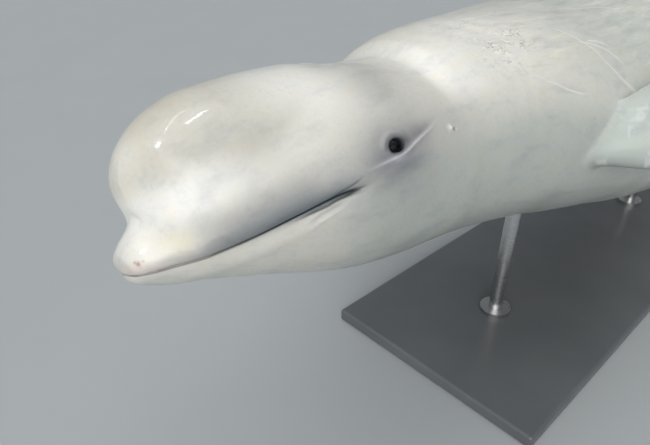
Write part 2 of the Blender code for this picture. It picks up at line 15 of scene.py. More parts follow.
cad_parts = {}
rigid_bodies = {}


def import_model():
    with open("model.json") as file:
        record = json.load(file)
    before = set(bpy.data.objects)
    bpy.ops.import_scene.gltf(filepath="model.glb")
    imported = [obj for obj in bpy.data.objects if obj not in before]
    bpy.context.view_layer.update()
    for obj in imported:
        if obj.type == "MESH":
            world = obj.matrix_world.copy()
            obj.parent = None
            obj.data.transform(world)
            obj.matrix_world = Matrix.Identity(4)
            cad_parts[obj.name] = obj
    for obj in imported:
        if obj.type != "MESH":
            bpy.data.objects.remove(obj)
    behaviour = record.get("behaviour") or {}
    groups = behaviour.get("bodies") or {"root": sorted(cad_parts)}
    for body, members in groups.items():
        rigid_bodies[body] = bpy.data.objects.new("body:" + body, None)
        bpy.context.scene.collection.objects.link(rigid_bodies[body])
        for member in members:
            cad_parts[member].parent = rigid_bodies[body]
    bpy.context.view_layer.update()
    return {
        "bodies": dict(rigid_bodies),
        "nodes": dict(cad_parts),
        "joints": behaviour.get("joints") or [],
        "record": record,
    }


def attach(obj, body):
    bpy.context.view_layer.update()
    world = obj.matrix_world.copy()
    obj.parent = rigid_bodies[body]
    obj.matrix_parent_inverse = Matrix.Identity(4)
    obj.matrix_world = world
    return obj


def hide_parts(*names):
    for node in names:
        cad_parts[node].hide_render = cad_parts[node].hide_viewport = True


# Sizes and pose of the solids
LENGTH = 3.80
CROWN = [(0.000, 0.002, 0.004), (0.010, 0.003, 0.020), (0.025, 0.016, 0.037), (0.050, 0.042, 0.060),
         (0.075, 0.034, 0.080), (0.100, 0.033, 0.104), (0.130, 0.045, 0.136), (0.165, 0.073, 0.166),
         (0.205, 0.117, 0.190), (0.250, 0.170, 0.201), (0.300, 0.238, 0.201), (0.360, 0.320, 0.197),
         (0.420, 0.400, 0.180), (0.500, 0.500, 0.165)]
CHIN_X = [(0.000, 0.002), (0.010, 0.008), (0.025, 0.026), (0.050, 0.060), (0.060, 0.092),
          (0.075, 0.106), (0.100, 0.124), (0.165, 0.180), (0.250, 0.258), (0.400, 0.400), (0.500, 0.500)]
BACK = [(0.42, 0.174), (0.50, 0.165), (0.545, 0.188), (0.60, 0.199), (0.76, 0.210), (1.00, 0.234),
        (1.30, 0.278), (1.65, 0.304), (2.05, 0.283), (2.50, 0.212), (2.90, 0.142), (3.25, 0.088),
        (3.55, 0.045), (3.80, 0.007)]
BELLY = [(0.002, -0.004), (0.008, -0.018), (0.026, -0.030), (0.052, -0.042), (0.10, -0.058),
         (0.20, -0.098), (0.30, -0.140), (0.40, -0.167), (0.50, -0.181), (0.70, -0.212),
         (0.95, -0.252), (1.30, -0.310), (1.65, -0.345), (2.05, -0.318), (2.50, -0.235),
         (2.90, -0.155), (3.25, -0.098), (3.55, -0.050), (3.80, -0.007)]
WIDTH = [(0.000, 0.010), (0.010, 0.034), (0.025, 0.050), (0.050, 0.069), (0.060, 0.084),
         (0.075, 0.090), (0.100, 0.096), (0.130, 0.107), (0.200, 0.131), (0.300, 0.161),
         (0.400, 0.182), (0.500, 0.190), (0.600, 0.206), (0.760, 0.244), (1.000, 0.284),
         (1.300, 0.323), (1.650, 0.336), (2.050, 0.300), (2.500, 0.212), (2.900, 0.130),
         (3.250, 0.075), (3.550, 0.043), (3.800, 0.009)]
MELON = [(0.050, 0.000), (0.056, 0.022), (0.070, 0.042), (0.090, 0.060), (0.120, 0.080),
         (0.165, 0.105), (0.220, 0.125), (0.300, 0.142), (0.400, 0.148), (0.500, 0.120), (0.620, 0.000)]
JAW_TOP = [(0.05, 0.0), (0.06, 0.06), (0.10, 0.235), (0.165, 0.350), (0.20, 0.352), (0.25, 0.29),
           (0.30, 0.21), (0.36, 0.095), (0.42, 0.0), (0.50, 0.0)]
MELON_FOOT = [(0.05, 0.29), (0.06, 0.37), (0.10, 0.67), (0.20, 0.86), (0.40, 0.81), (0.62, 0.70)]
MELON_SPAN = (0.05, 0.62)
HEAD_END = 0.50
OVAL_BLEND = 5.0
BODY_PITCH = 5.7
BODY_ROLL = -11.0
NECK_PITCH = -8.0
NECK_ROLL = -13.0
NECK_BEND = (0.46, 0.95)
TAIL_PITCH = 8.0
TAIL_BEND = (1.90, 3.50)
LEVEL_X = 1.50
AXIS_HEIGHT = 0.66
SPINE_STEP = 0.005
SPINE_OVERRUN = 0.20
BASE_X = 1.58

# Flippers and flukes: share of the span, leading edge, trailing edge, thickness, rise
FLIPPER = [(0.00, -0.042, 0.046, 0.058, 0.000), (0.15, -0.052, 0.052, 0.056, 0.000),
           (0.30, -0.075, 0.080, 0.050, 0.000), (0.48, -0.086, 0.110, 0.042, 0.004),
           (0.65, -0.078, 0.130, 0.033, 0.012), (0.82, -0.052, 0.130, 0.023, 0.026),
           (0.94, -0.010, 0.106, 0.015, 0.040), (1.00, 0.042, 0.050, 0.007, 0.048)]
FLIPPER_SPAN = 0.54
FLIPPER_ROOT = {"left": (0.797, 0.182, -0.062), "right": (0.815, 0.178, -0.100)}
FLIPPER_SET = {"left": (11.6, 37.0, 86.0), "right": (-16.0, 40.0, 32.0)}
FLUKE = [(0.00, 3.350, 3.797, 0.062, 0.000), (0.15, 3.440, 3.838, 0.050, 0.000),
         (0.40, 3.560, 3.885, 0.036, 0.004), (0.70, 3.705, 3.900, 0.024, 0.010),
         (0.90, 3.812, 3.890, 0.014, 0.012), (1.00, 3.862, 3.868, 0.006, 0.010)]
FLUKE_SPAN = 0.46
FLUKE_ROOT_Y = 0.004

# Low ridge along the back
RIDGE_START = 1.70
RIDGE_END = 2.46
RIDGE_HEIGHT = 0.020
RIDGE_HALF_WIDTH = 0.024
RIDGE_NOTCHES = 9

# Folds of loose skin on the neck and the flanks
NECK_RINGS_START = 0.55
NECK_RING_SPACING = 0.042
FLANK_FOLD_SPACING = 0.15

# Marks along the middle of the belly
NAVEL_X = 1.98
SLIT_SPAN = (2.42, 2.45, 2.60, 2.64)
SLIT_MIDDLE = 2.53
SLIT_HALF = 0.10
VENT_X = 2.80

# Lines on the left and right side of the head: x, z
MOUTH = [(-0.050, -0.003), (0.000, -0.004), (0.031, -0.008), (0.075, -0.011), (0.118, -0.009),
         (0.194, -0.001), (0.260, 0.004), (0.2925, 0.002)]
MOUTH_CORNER = MOUTH[-1][0]
CORNER_CREASE = [(0.236, 0.0050), (0.256, 0.0079), (0.2725, 0.0104), (0.300, 0.0170)]
LOWER_LIP_EDGE = [(0.180, -0.0070), (0.216, -0.0048), (0.237, -0.0040), (0.2525, -0.0014),
                  (0.269, -0.0004), (0.294, 0.0034), (0.306, 0.0062)]
LID_FOLD = [(0.290, 0.0196), (0.314, 0.0206), (0.341, 0.0212), (0.369, 0.0232), (0.382, 0.0272),
            (0.396, 0.0316), (0.431, 0.0392), (0.462, 0.0470)]
CHEEK_FOLD = [(0.200, -0.027), (0.220, -0.0195), (0.242, -0.0150), (0.270, -0.0105)]
# Swellings and hollows beside these lines: line, height, middle and width across it
LINE_SWELLINGS = [(CORNER_CREASE, -0.0012, 0, 0.0018), (LOWER_LIP_EDGE, -0.0016, 0, 0.0018),
                  (LID_FOLD, 0.0009, 0, 0.0015), (LID_FOLD, -0.0011, 0.0055, 0.0040),
                  (LID_FOLD, -0.0010, -0.0075, 0.0060), (CHEEK_FOLD, 0.0016, -0.0012, 0.0028),
                  (CHEEK_FOLD, -0.0018, 0.0040, 0.0030)]

# Eyes, ear openings and blowhole
EYE_X = 0.357
EYE_Z = 0.036
EYE_RADIUS = 0.014
EYE_DEPTH = 0.0093
LID_LENGTH = 0.0118
LID_HEIGHT = 0.0108
LOWER_LID = 0.0070
LID_CLEARANCE = 0.0012
BALL_CLEARANCE = 0.0002
CORNEA_RISE = 0.0009
IRIS_RADIUS = 0.0066
PUPIL_HALF_LENGTH = 0.0030
PUPIL_HALF_HEIGHT = 0.0021
EAR_X = 0.482
EAR_Z = 0.024
# The swelling in front of the ear opening, tailward and upward from it
EAR_SWELLING = (-0.0085, 0.004)
BLOWHOLE_X = 0.398
BLOWHOLE_RADIUS = 0.026
BLOWHOLE_SWEEP = 75.0

# Fineness of the skin: station, step between columns
COLUMN_STEP = [(0.000, 0.0012), (0.048, 0.0012), (0.052, 0.0006), (0.060, 0.0006), (0.066, 0.0015),
               (0.330, 0.0015), (0.336, 0.0009), (0.378, 0.0009), (0.384, 0.0016), (0.500, 0.0018),
               (0.800, 0.0060), (3.800, 0.0075)]
ROWS_ABOVE = 118
ROWS_BELOW = 60
# Share of the rows above the mouth's height, share of the angle from the top down to it
ROW_ABOVE = [(0.0, 0.0), (0.15, 0.12), (0.58, 0.78), (1.0, 1.0)]
# Share of the rows below the mouth's height, share of the angle from it to the bottom
ROW_BELOW = [(0.0, 0.0), (0.24, 0.065), (1.0, 1.0)]
# Height that the dense rows follow: x, z
ROW_GUIDE = MOUTH + [(0.40, 0.000), (0.60, -0.010), (1.20, -0.030), (3.80, 0.000)]
# Rings that close the skin's ends, the angle that they leave open, and how far they bulge
CAP_RINGS = 7
CAP_OPENING = 0.06
BEAK_BULGE = -0.0006
TAIL_BULGE = 0.005
# Softening of the notch between melon and beak: stations, nearest and full distance from the middle, rounds
NOTCHES = [((0.024, 0.040, 0.085, 0.115), (-0.02, -0.01), 160),
           ((0.024, 0.044, 0.110, 0.160), (0.018, 0.050), 700)]
FOIL_STEPS = 34
FIN_RINGS = 110
FIN_SMOOTHING = 30
# Extra thickness of a fin's root, the share of its span that has it, and the reach of its soft joint
FLIPPER_FLARE = 0.12
FLUKE_FLARE = 0.40
FIN_FLARE_SPAN = 0.22
FLIPPER_JOINT = 0.046
FLUKE_JOINT = 0.062
JOINT_ROUNDS = 30
FIN_FADE = 0.009
# Stations behind which a fin's joint can lie, and behind which it is a fluke's
JOINTS_START = 0.55
TAIL_START = 2.5
# Fineness of the eyeballs
EYE_ROWS = 44
EYE_SIDES = 64
# Station up to which the head is painted, and the sign of Y on each side
FACE_END = 0.62
SIDES = {"left": -1, "right": 1}
# Field and width of each kind of point attribute
ATTRIBUTE_FIELDS = {"FLOAT": ("value", 1), "FLOAT_VECTOR": ("vector", 3), "FLOAT_COLOR": ("color", 4)}

# Colours, linear
IVORY = (0.700, 0.690, 0.640)
CREAM = (0.610, 0.590, 0.520)
# Near white, for painted highlights on the face, behind the crown and on the shoulder, and for the swelling
# before each ear
BRIGHT = (0.900, 0.895, 0.865)
SALLOW = (0.780, 0.720, 0.540)
# Painted greenish reflection on the wet back
COOL_REFLECTION = (0.560, 0.600, 0.560)
# Painted shade behind the crown, behind the eye and on the melon's middle
ASH_SHADE = (0.420, 0.415, 0.400)
# Painted shade on the lower half behind the mouth
FLANK_SHADE = (0.430, 0.475, 0.455)
# Painted shade beside the lid's fold and in the cheek's fold
MAUVE_SHADE = (0.310, 0.285, 0.325)
# Painted shade under the upper lip's rolled edge and below the lid's fold
LIP_GREY_SHADE = (0.140, 0.175, 0.200)
# Painted shade in the gap where the lips part
LIP_GAP_SHADE = (0.050, 0.075, 0.095)
# Dark grey: painted shade behind each eye, beside the blowhole and in the belly's marks, and the grey of the
# ridge and of the fins' rims
GREY_AND_SHADE = (0.110, 0.115, 0.140)
EYE_SHADE = (0.040, 0.050, 0.062)
# Painted shade round and in front of each eye
DUSK_SHADE = (0.240, 0.245, 0.262)
LIP_SHADE = (0.335, 0.340, 0.345)
# Pale lilac: painted highlight on the crest of the lid's fold, and the pale patch under each eye
LAVENDER = (0.600, 0.600, 0.680)
# Near black: painted shade in the mouth's gap and creases, the ear openings and the blowhole's slit, and the
# black rim of the lids
SLATE = (0.026, 0.031, 0.038)
LIP_PINK = (0.740, 0.560, 0.510)
SORE = (0.330, 0.150, 0.100)
FIN_WHITE = (0.440, 0.500, 0.480)
EYE_WHITE = (0.006, 0.007, 0.009)
EYE_BROWN = (0.005, 0.005, 0.006)
EYE_RIM = (0.004, 0.004, 0.005)
PUPIL = (0.002, 0.002, 0.003)

# Soft patches on each side of the head: colour, strength, middle x and z, reach x and z. The bright ones are
# painted highlights, the sallow one is the skin's own tint, and the rest are painted shade
HEAD_PATCHES = [(BRIGHT, 0.70, 0.285, 0.165, 0.080, 0.055), (BRIGHT, 0.40, 0.045, 0.150, 0.026, 0.040),
                (BRIGHT, 0.70, 0.028, 0.022, 0.030, 0.034), (ASH_SHADE, 0.60, 0.385, 0.122, 0.045, 0.040),
                (BRIGHT, 0.50, 0.520, 0.104, 0.040, 0.036), (ASH_SHADE, 0.45, 0.480, 0.040, 0.075, 0.048),
                (DUSK_SHADE, 0.90, 0.356, 0.028, 0.068, 0.052), (ASH_SHADE, 0.34, 0.150, 0.128, 0.055, 0.034),
                (SALLOW, 0.50, 0.056, 0.022, 0.022, 0.014), (LIP_GREY_SHADE, 0.40, 0.366, 0.007, 0.032, 0.012),
                (GREY_AND_SHADE, 0.40, 0.402, 0.044, 0.024, 0.011)]

# Patches round each eye: colour, strength, middle and reach, each tailward and upward. The first is painted
# shade in front of the eye, the last painted shade behind it
EYE_PATCHES = [(DUSK_SHADE, 0.40, -0.014, -0.002, 0.024, 0.014), (LAVENDER, 0.60, -0.001, -0.0145, 0.0120, 0.0055),
               (GREY_AND_SHADE, 0.66, 0.0150, 0.0040, 0.0095, 0.0090)]

# Worn spot on the left of the upper lip: place, reach, strength
BEAK_SPOTS = [((0.0127, -0.0427, 0.0106), 0.0030, 0.90), ((0.0185, -0.0465, 0.0120), 0.0020, 0.75),
              ((0.0100, -0.0395, 0.0135), 0.0018, 0.65)]

# Painted highlight on the skin behind the head, in plan: middle x and y, reach x and y
SHOULDER_SHINE = (0.66, -0.12, 0.10, 0.09)
# Flecked places on the back, in plan: strength, middle x and y, reach x and y
FLECKS = [(1.3, 0.672, -0.164, 0.050, 0.024), (0.8, 0.640, -0.092, 0.036, 0.022),
          (0.7, 0.800, 0.100, 0.070, 0.060)]

# Scratches on the back, in plan: start x and y, end x and y, bow, half width
SCRATCHES = [(0.795, -0.172, 0.862, -0.238, 0.004, 0.0026), (0.850, -0.228, 0.955, -0.272, -0.005, 0.0022),
             (0.815, -0.200, 0.925, -0.250, 0.006, 0.0020), (0.668, -0.205, 0.785, -0.243, -0.004, 0.0007),
             (0.690, -0.120, 0.765, -0.150, 0.004, 0.0018), (0.845, -0.205, 0.900, -0.222, 0.003, 0.0022),
             (0.700, -0.150, 0.790, -0.168, 0.005, 0.0012), (0.905, -0.130, 1.060, -0.175, 0.008, 0.0016),
             (0.760, 0.060, 0.940, 0.110, 0.010, 0.0015), (1.150, -0.060, 1.420, -0.020, -0.012, 0.0018),
             (1.480, 0.120, 1.620, 0.190, 0.006, 0.0015), (1.900, -0.100, 2.160, -0.150, 0.010, 0.0018),
             (2.280, 0.050, 2.420, 0.090, -0.006, 0.0015)]

# The skin's shader, before its links
SKIN_SOCKETS = {"Roughness": 0.40, "IOR": 1.42, "Subsurface Weight": 0.12, "Subsurface Scale": 0.015,
                "Subsurface Radius": (1.0, 0.62, 0.45), "Coat Weight": 0.45, "Coat Roughness": 0.09,
                "Coat IOR": 1.36}

# Light: name, direction, strength, spread in degrees, colour
SKY_LIGHTS = [("key", (0.75, 0.45, -0.50), 1.80, 50.0, (1.0, 0.98, 0.95)),
              ("top", (0.1, 0.0, -1.0), 1.06, 60.0, (1.0, 1.0, 0.98))]
# Narrow lamps for the glints: name, start and end in plan, width, power
STRIP_LIGHTS = [("glint_bright", (-1.78, 0.37), (-1.20, 0.60), 0.07, 10),
                ("glint_faint", (-2.57, 0.71), (-1.37, 1.40), 0.05, 6),
                ("glint_dot", (-3.18, 0.50), (-2.86, 0.58), 0.30, 18)]
LAMP_HEIGHT = 3.4
SKY_COLOUR = (0.90, 0.95, 1.0, 1)
SKY_STRENGTH = 0.30
FLOOR_REACH = 30.0

# Camera, fitted to the photograph's frame of 650 by 445
FRAME_WIDTH = 650
CAMERA_PLACE = (-1.784, -0.611, 1.145)
CAMERA_YAW = 43.08
CAMERA_PITCH = 31.22
CAMERA_FOCUS = 558.97
SENSOR_WIDTH = 36.0


def curve(rows, x, column=1):
    """Smooth curve through a table's rows that never overshoots them."""
    xs = np.array([row[0] for row in rows], float)
    ys = np.array([row[column] for row in rows], float)
    x = np.asarray(x, float)
    step = np.diff(xs)
    slope = np.diff(ys) / step
    tangent = np.zeros_like(ys)
    tangent[0] = slope[0]
    tangent[-1] = slope[-1]
    before = 2 * step[1:] + step[:-1]
    after = step[1:] + 2 * step[:-1]
    rising = slope[:-1] * slope[1:] > 0
    low = np.where(rising, slope[:-1], 1.0)
    high = np.where(rising, slope[1:], 1.0)
    tangent[1:-1] = np.where(rising, (before + after) / (before / low + after / high), 0.0)
    i = np.clip(np.searchsorted(xs, x, side="right") - 1, 0, len(xs) - 2)
    t = np.clip((x - xs[i]) / step[i], 0, 1)
    start = (2 * t**3 - 3 * t**2 + 1) * ys[i] + (t**3 - 2 * t**2 + t) * step[i] * tangent[i]
    end = (3 * t**2 - 2 * t**3) * ys[i + 1] + (t**3 - t**2) * step[i] * tangent[i + 1]
    return start + end


def smoothstep(low, high, x):
    t = np.clip((np.asarray(x, float) - low) / (high - low), 0, 1)
    return t * t * (3 - 2 * t)


def fade(low, high, x):
    """One before a place and nothing behind it, with a soft end."""
    return 1 - smoothstep(low, high, x)


def plateau(low, full, fading, high, x):
    """One between two places and nothing outside them, with soft ends."""
    return smoothstep(low, full, x) * fade(fading, high, x)


def bell(x, middle, width):
    """Smooth bump of height one."""
    return np.exp(-((x - middle) / width) ** 2)


def spot(x, z, middle_x, middle_z, reach_x, reach_z):
    """Soft oval patch of strength one in its middle."""
    return np.exp(-((x - middle_x) / reach_x) ** 2 - ((z - middle_z) / reach_z) ** 2)


def axes(points):
    return points[..., 0], points[..., 1], points[..., 2]


def unit(vector):
    return vector / np.linalg.norm(vector)


def ring_ends(s):
    """Top and bottom point of the body's rings, which lean forward on the head."""
    on_head = s < HEAD_END
    top_x = np.where(on_head, curve(CROWN, s, 1), s)
    top_z = np.where(on_head, curve(CROWN, s, 2), curve(BACK, s))
    chin_x = np.where(on_head, curve(CHIN_X, s), s)
    return top_x, top_z, chin_x, curve(BELLY, chin_x)


def section(s, angle):
    """Points of the body's right half; angle 0 is a ring's top and pi its bottom."""
    down = (1 - np.cos(angle)) / 2
    top_x, top_z, low_x, low_z = ring_ends(s)
    jaw_top = np.where(s < HEAD_END, curve(JAW_TOP, s), 0.0)
    jaw = np.sqrt(1 - np.clip((2 * down - 1 - jaw_top) / (1 - jaw_top), -1, 1) ** 2) * curve(WIDTH, s)
    has_melon = (s > MELON_SPAN[0]) & (s < MELON_SPAN[1])
    melon = np.sqrt(1 - np.clip(2 * down / curve(MELON_FOOT, s) - 1, -1, 1) ** 2)
    melon = melon * np.where(has_melon, curve(MELON, s), 0.0)
    y = (jaw**OVAL_BLEND + melon**OVAL_BLEND) ** (1 / OVAL_BLEND)
    return top_x + (low_x - top_x) * down, y, top_z + (low_z - top_z) * down


def half_width(x, z):
    """Half width of the body beside a point of the middle plane, found by halving."""
    low, high = 0.0, LENGTH
    for _ in range(40):
        s = (low + high) / 2
        top_x, top_z, low_x, low_z = ring_ends(np.array(s))
        share = (top_z - z) / (top_z - low_z)
        if top_x + (low_x - top_x) * share < x:
            low = s
        else:
            high = s
    angle = math.acos(1 - 2 * min(max(float(share), 0.0), 1.0))
    return float(section(np.array(s), np.array(angle))[1])


def side_frame(x, z, side):
    """Point on the body's side, with its outward, tailward and upward directions."""
    reach = 0.004
    slope_x = (half_width(x + reach, z) - half_width(x - reach, z)) / (2 * reach)
    slope_z = (half_width(x, z + reach) - half_width(x, z - reach)) / (2 * reach)
    normal = unit(np.array([-slope_x, side, -slope_z]))
    along = np.array([1.0, side * slope_x, 0.0])
    along = unit(along - normal * (along @ normal))
    return np.array([x, side * half_width(x, z), z]), normal, along, np.cross(along, normal) * side


def offsets(points, x, z, side):
    """How far points lie tailward and upward from a place on the body's side."""
    centre, _, along, up = side_frame(x, z, side)
    return (points - centre) @ along, (points - centre) @ up


def spine():
    """Turn and place of the body's axis at close steps, from before the beak to past the tail."""
    x = np.arange(-SPINE_OVERRUN, LENGTH + SPINE_OVERRUN, SPINE_STEP)
    neck = fade(*NECK_BEND, x)
    tail = smoothstep(*TAIL_BEND, x)
    pitch = np.radians(BODY_PITCH + NECK_PITCH * neck + TAIL_PITCH * tail)
    roll = np.radians(BODY_ROLL + NECK_ROLL * neck)
    along = np.stack((np.cos(pitch), 0 * x, -np.sin(pitch)), -1)
    across = np.stack((np.sin(pitch) * np.sin(roll), np.cos(roll), np.cos(pitch) * np.sin(roll)), -1)
    frame = np.stack((along, across, np.cross(along, across)), -1)
    place = np.cumsum((along[1:] + along[:-1]) / 2 * SPINE_STEP, axis=0)
    place = np.concatenate(([[0.0, 0.0, 0.0]], place))
    level = int(round((LEVEL_X + SPINE_OVERRUN) / SPINE_STEP))
    return frame, place - place[level] + np.array([LEVEL_X - BASE_X, 0.0, AXIS_HEIGHT])


SPINE_FRAME, SPINE_PLACE = spine()


def pose(points):
    """Bend points of the straight whale into the swimming pose, above the stand."""
    points = np.asarray(points, float)
    share = (points[:, 0] + SPINE_OVERRUN) / SPINE_STEP
    i = np.clip(share.astype(int), 0, len(SPINE_PLACE) - 2)
    t = (share - i)[:, None]
    place = SPINE_PLACE[i] * (1 - t) + SPINE_PLACE[i + 1] * t
    frame = SPINE_FRAME[i] * (1 - t[..., None]) + SPINE_FRAME[i + 1] * t[..., None]
    return place + frame[:, :, 1] * points[:, 1:2] + frame[:, :, 2] * points[:, 2:3]


def waves(points, length, count, seed):
    """Smooth, even unevenness between about -1 and 1: crossing waves of one length."""
    draw = np.random.default_rng(seed)
    total = np.zeros(points.shape[:-1])
    for _ in range(count):
        direction = unit(draw.normal(size=3)) * 2 * math.pi / (length * draw.uniform(0.8, 1.3))
        total += np.cos(points @ direction + draw.uniform(0, 2 * math.pi))
    return total / math.sqrt(count * 2)


def stroke(points, rows):
    """Signed distance above a line on the head's side, and a weight that fades at its ends."""
    x, _, z = axes(points)
    reach = 0.002
    slope = (curve(rows, x + reach) - curve(rows, x - reach)) / (2 * reach)
    away = (z - curve(rows, x)) / np.sqrt(1 + slope**2)
    share = (x - rows[0][0]) / (rows[-1][0] - rows[0][0])
    return away, plateau(0.0, 0.35, 0.65, 1.0, share)


def mouth_relief(points):
    """Upper lip that rolls in over a lower lip set back under it, with a thin dark gap."""
    x, _, z = axes(points)
    away = z - curve(MOUTH, x)
    present = fade(MOUTH_CORNER - 0.016, MOUTH_CORNER + 0.004, x)
    soft = fade(MOUTH_CORNER - 0.050, MOUTH_CORNER + 0.020, x)
    beak = smoothstep(0.0, 0.05, x)
    corner = smoothstep(0.235, 0.275, x)
    parted = plateau(0.195, 0.235, 0.268, 0.298, x)
    roll = -0.0042 * np.exp(-np.clip(away, 0, 1) / 0.0055) + 0.0016 * bell(away, 0.017, 0.011)
    under = -0.0060 * np.exp(np.clip(away, -1, 0) / (0.006 + 0.012 * beak))
    under += 0.0014 * bell(away, -0.026, 0.010) * beak
    gap = -(0.0045 + 0.0015 * corner) * bell(away, -0.0008, 0.0013 + 0.0009 * corner)
    gap = gap * (0.30 + 0.70 * beak) - 0.0020 * parted * bell(away, -0.0022, 0.0046)
    return np.where(away > 0, roll, under) * soft * (0.40 + 0.60 * beak) + gap * present


def line_relief(points):
    """Creases at the mouth's corner, the fold of the lower lid and the fold of the cheek."""
    total = np.zeros(points.shape[:-1])
    for rows, height, middle, width in LINE_SWELLINGS:
        away, weight = stroke(points, rows)
        total += height * weight * bell(away, middle, width)
    return total


def lid_distance(points, side):
    """Distance outside the lids' opening, and offsets tailward and upward from the eye."""
    a, b = offsets(points, EYE_X, EYE_Z, side)
    oval = (np.sqrt((a / LID_LENGTH) ** 2 + ((b - 0.001) / LID_HEIGHT) ** 2) - 1) * LID_HEIGHT
    lower = -(b + LOWER_LID - 12.0 * a**2)
    edge = 0.0012
    return edge * np.logaddexp(oval / edge, lower / edge), a, b


def eye_relief(points, side):
    """Lids that hug the eyeball, its pit, and fine rings of wrinkles round it."""
    out, a, b = lid_distance(points, side)
    radius = np.hypot(a, b)
    near = radius < 0.050
    ball = np.sqrt(np.clip(EYE_RADIUS**2 - radius**2, 0, None)) - EYE_DEPTH
    softness = 0.0016
    hug = softness * np.logaddexp(0, (ball + LID_CLEARANCE) / softness) - softness * math.log(2) * 0.2
    lid = hug + 0.0007 * bell(out, 0.0020, 0.0018)
    hood = 0.0022 * bell(out, 0.0080, 0.0045) * smoothstep(-0.002, 0.006, b)
    groove = -0.0004 * bell(out, 0.0046, 0.0018) * smoothstep(-0.003, 0.004, b)
    rings = 0.00008 * np.cos(out / 0.0012 + 1.5 * waves(points, 0.015, 5, 62)) * bell(out, 0.011, 0.006)
    pit = ball - 0.0030
    inside = fade(-0.0010, 0.0004, out)
    relief = (lid + hood + groove + rings) * (1 - inside) + pit * inside
    return np.where(near, relief * fade(0.030, 0.045, radius), 0.0)


def ear_relief(points, side):
    """Ear opening, with a small swelling in front of it."""
    a, b = offsets(points, EAR_X, EAR_Z, side)
    hole = -0.0045 * spot(a, b, 0, 0, 0.0020, 0.0020)
    swelling = 0.0022 * spot(a, b, *EAR_SWELLING, 0.0052, 0.0052)
    near = np.abs(points[..., 0] - EAR_X) < 0.04
    return np.where(near, hole + swelling, 0.0)


def blowhole_distance(points):
    """Distance from the crescent slit on the crown, and from the centre of its arc."""
    x, y, z = axes(points)
    x = x - (BLOWHOLE_X - BLOWHOLE_RADIUS)
    sweep = math.radians(BLOWHOLE_SWEEP)
    turn = np.clip(np.arctan2(y, x), -sweep, sweep)
    slit = np.hypot(x - BLOWHOLE_RADIUS * np.cos(turn), y - BLOWHOLE_RADIUS * np.sin(turn))
    return np.where(z > 0.10, slit, 1.0), np.hypot(x, y)


def crown_rim(y):
    """Station of the soft dip where the crown meets the neck, further back on the sides."""
    return 0.425 + 0.075 * smoothstep(0.03, 0.17, np.abs(y))


def crown_relief(points):
    """Blowhole with its rim and plug, and the dip behind the crown."""
    slit, radius = blowhole_distance(points)
    total = -0.0080 * bell(slit, 0, 0.0026) + 0.0022 * bell(slit, 0.0075, 0.0045)
    total += np.where(slit < 0.9, 0.0018 * bell(radius, 0.0, 0.016), 0.0)
    x, y, z = axes(points)
    return total - 0.0020 * bell(x, crown_rim(y), 0.022) * smoothstep(0.055, 0.105, z)


def neck_relief(points):
    """Shallow rings of loose skin behind the head, on the upper side most."""
    x, _, z = axes(points)
    wander = 0.030 * waves(points, 0.20, 6, 3)
    rings = np.cos(2 * math.pi * (x - NECK_RINGS_START + wander) / NECK_RING_SPACING)
    rings = 0.0004 * rings * plateau(0.50, 0.57, 0.66, 0.86, x)
    return rings * (0.5 + 0.5 * waves(points, 0.13, 8, 4)) * smoothstep(-0.12, 0.10, z)


def trunk_relief(points):
    """Slack unevenness of the trunk and the long folds of fat along the belly."""
    x, y, z = axes(points)
    loose = plateau(0.45, 0.90, 3.1, 3.6, x)
    total = loose * (0.0026 * waves(points, 0.30, 9, 11) + 0.0009 * waves(points, 0.11, 12, 12))
    belly = plateau(1.05, 1.45, 2.35, 2.75, x) * smoothstep(0.02, 0.12, -z)
    total += belly * (0.0060 * bell(np.abs(y), 0.125, 0.035) - 0.0040 * bell(y, 0.0, 0.040))
    flank = plateau(1.7, 2.1, 2.6, 3.0, x) * bell(z, -0.02, 0.09)
    wander = 0.02 * waves(points, 0.4, 5, 13)
    return total + 0.0022 * flank * np.cos(2 * math.pi * (x + 1.1 * z + wander) / FLANK_FOLD_SPACING)


def ridge_swell(x):
    """Share of the ridge's length at each station, and how far the ridge has risen there."""
    t = np.clip((x - RIDGE_START) / (RIDGE_END - RIDGE_START), 0, 1)
    return t, np.sin(math.pi * t)


def ridge_relief(points):
    """Low, slightly notched ridge along the middle of the back."""
    x, y, z = axes(points)
    t, swell = ridge_swell(x)
    notch = 0.85 + 0.15 * np.cos(2 * math.pi * RIDGE_NOTCHES * t)
    half = RIDGE_HALF_WIDTH * (0.35 + 0.65 * swell)
    profile = 1 - np.clip(np.abs(y) / half, 0, 1) ** 1.5
    return np.where(z > 0, RIDGE_HEIGHT * swell**0.6 * notch * profile, 0.0)


def belly_marks(points):
    """Navel and slits along the middle of the belly."""
    x, y, z = axes(points)
    total = 0.0050 * bell(x, NAVEL_X, 0.012) * bell(y, 0, 0.008)
    total += 0.0060 * plateau(*SLIT_SPAN, x) * bell(y, 0, 0.0035)
    total += 0.0045 * bell(x, VENT_X, 0.014) * bell(y, 0, 0.004)
    return np.where(z < 0, -total, 0.0)


def relief(points, side):
    """How far the skin stands out from the plain body, along its normal."""
    total = mouth_relief(points) + line_relief(points) + eye_relief(points, side) + ear_relief(points, side)
    for part in (crown_relief, neck_relief, trunk_relief, ridge_relief, belly_marks):
        total += part(points)
    return total + 0.0009 * plateau(0.03, 0.12, 0.45, 0.60, points[..., 0]) * waves(points, 0.10, 10, 21)


def columns():
    """Stations of the skin's columns, closest on the beak and round the eyes."""
    stations = [0.0]
    while stations[-1] < LENGTH:
        stations.append(stations[-1] + float(curve(COLUMN_STEP, stations[-1])))
    stations[-1] = LENGTH
    return np.array(stations)


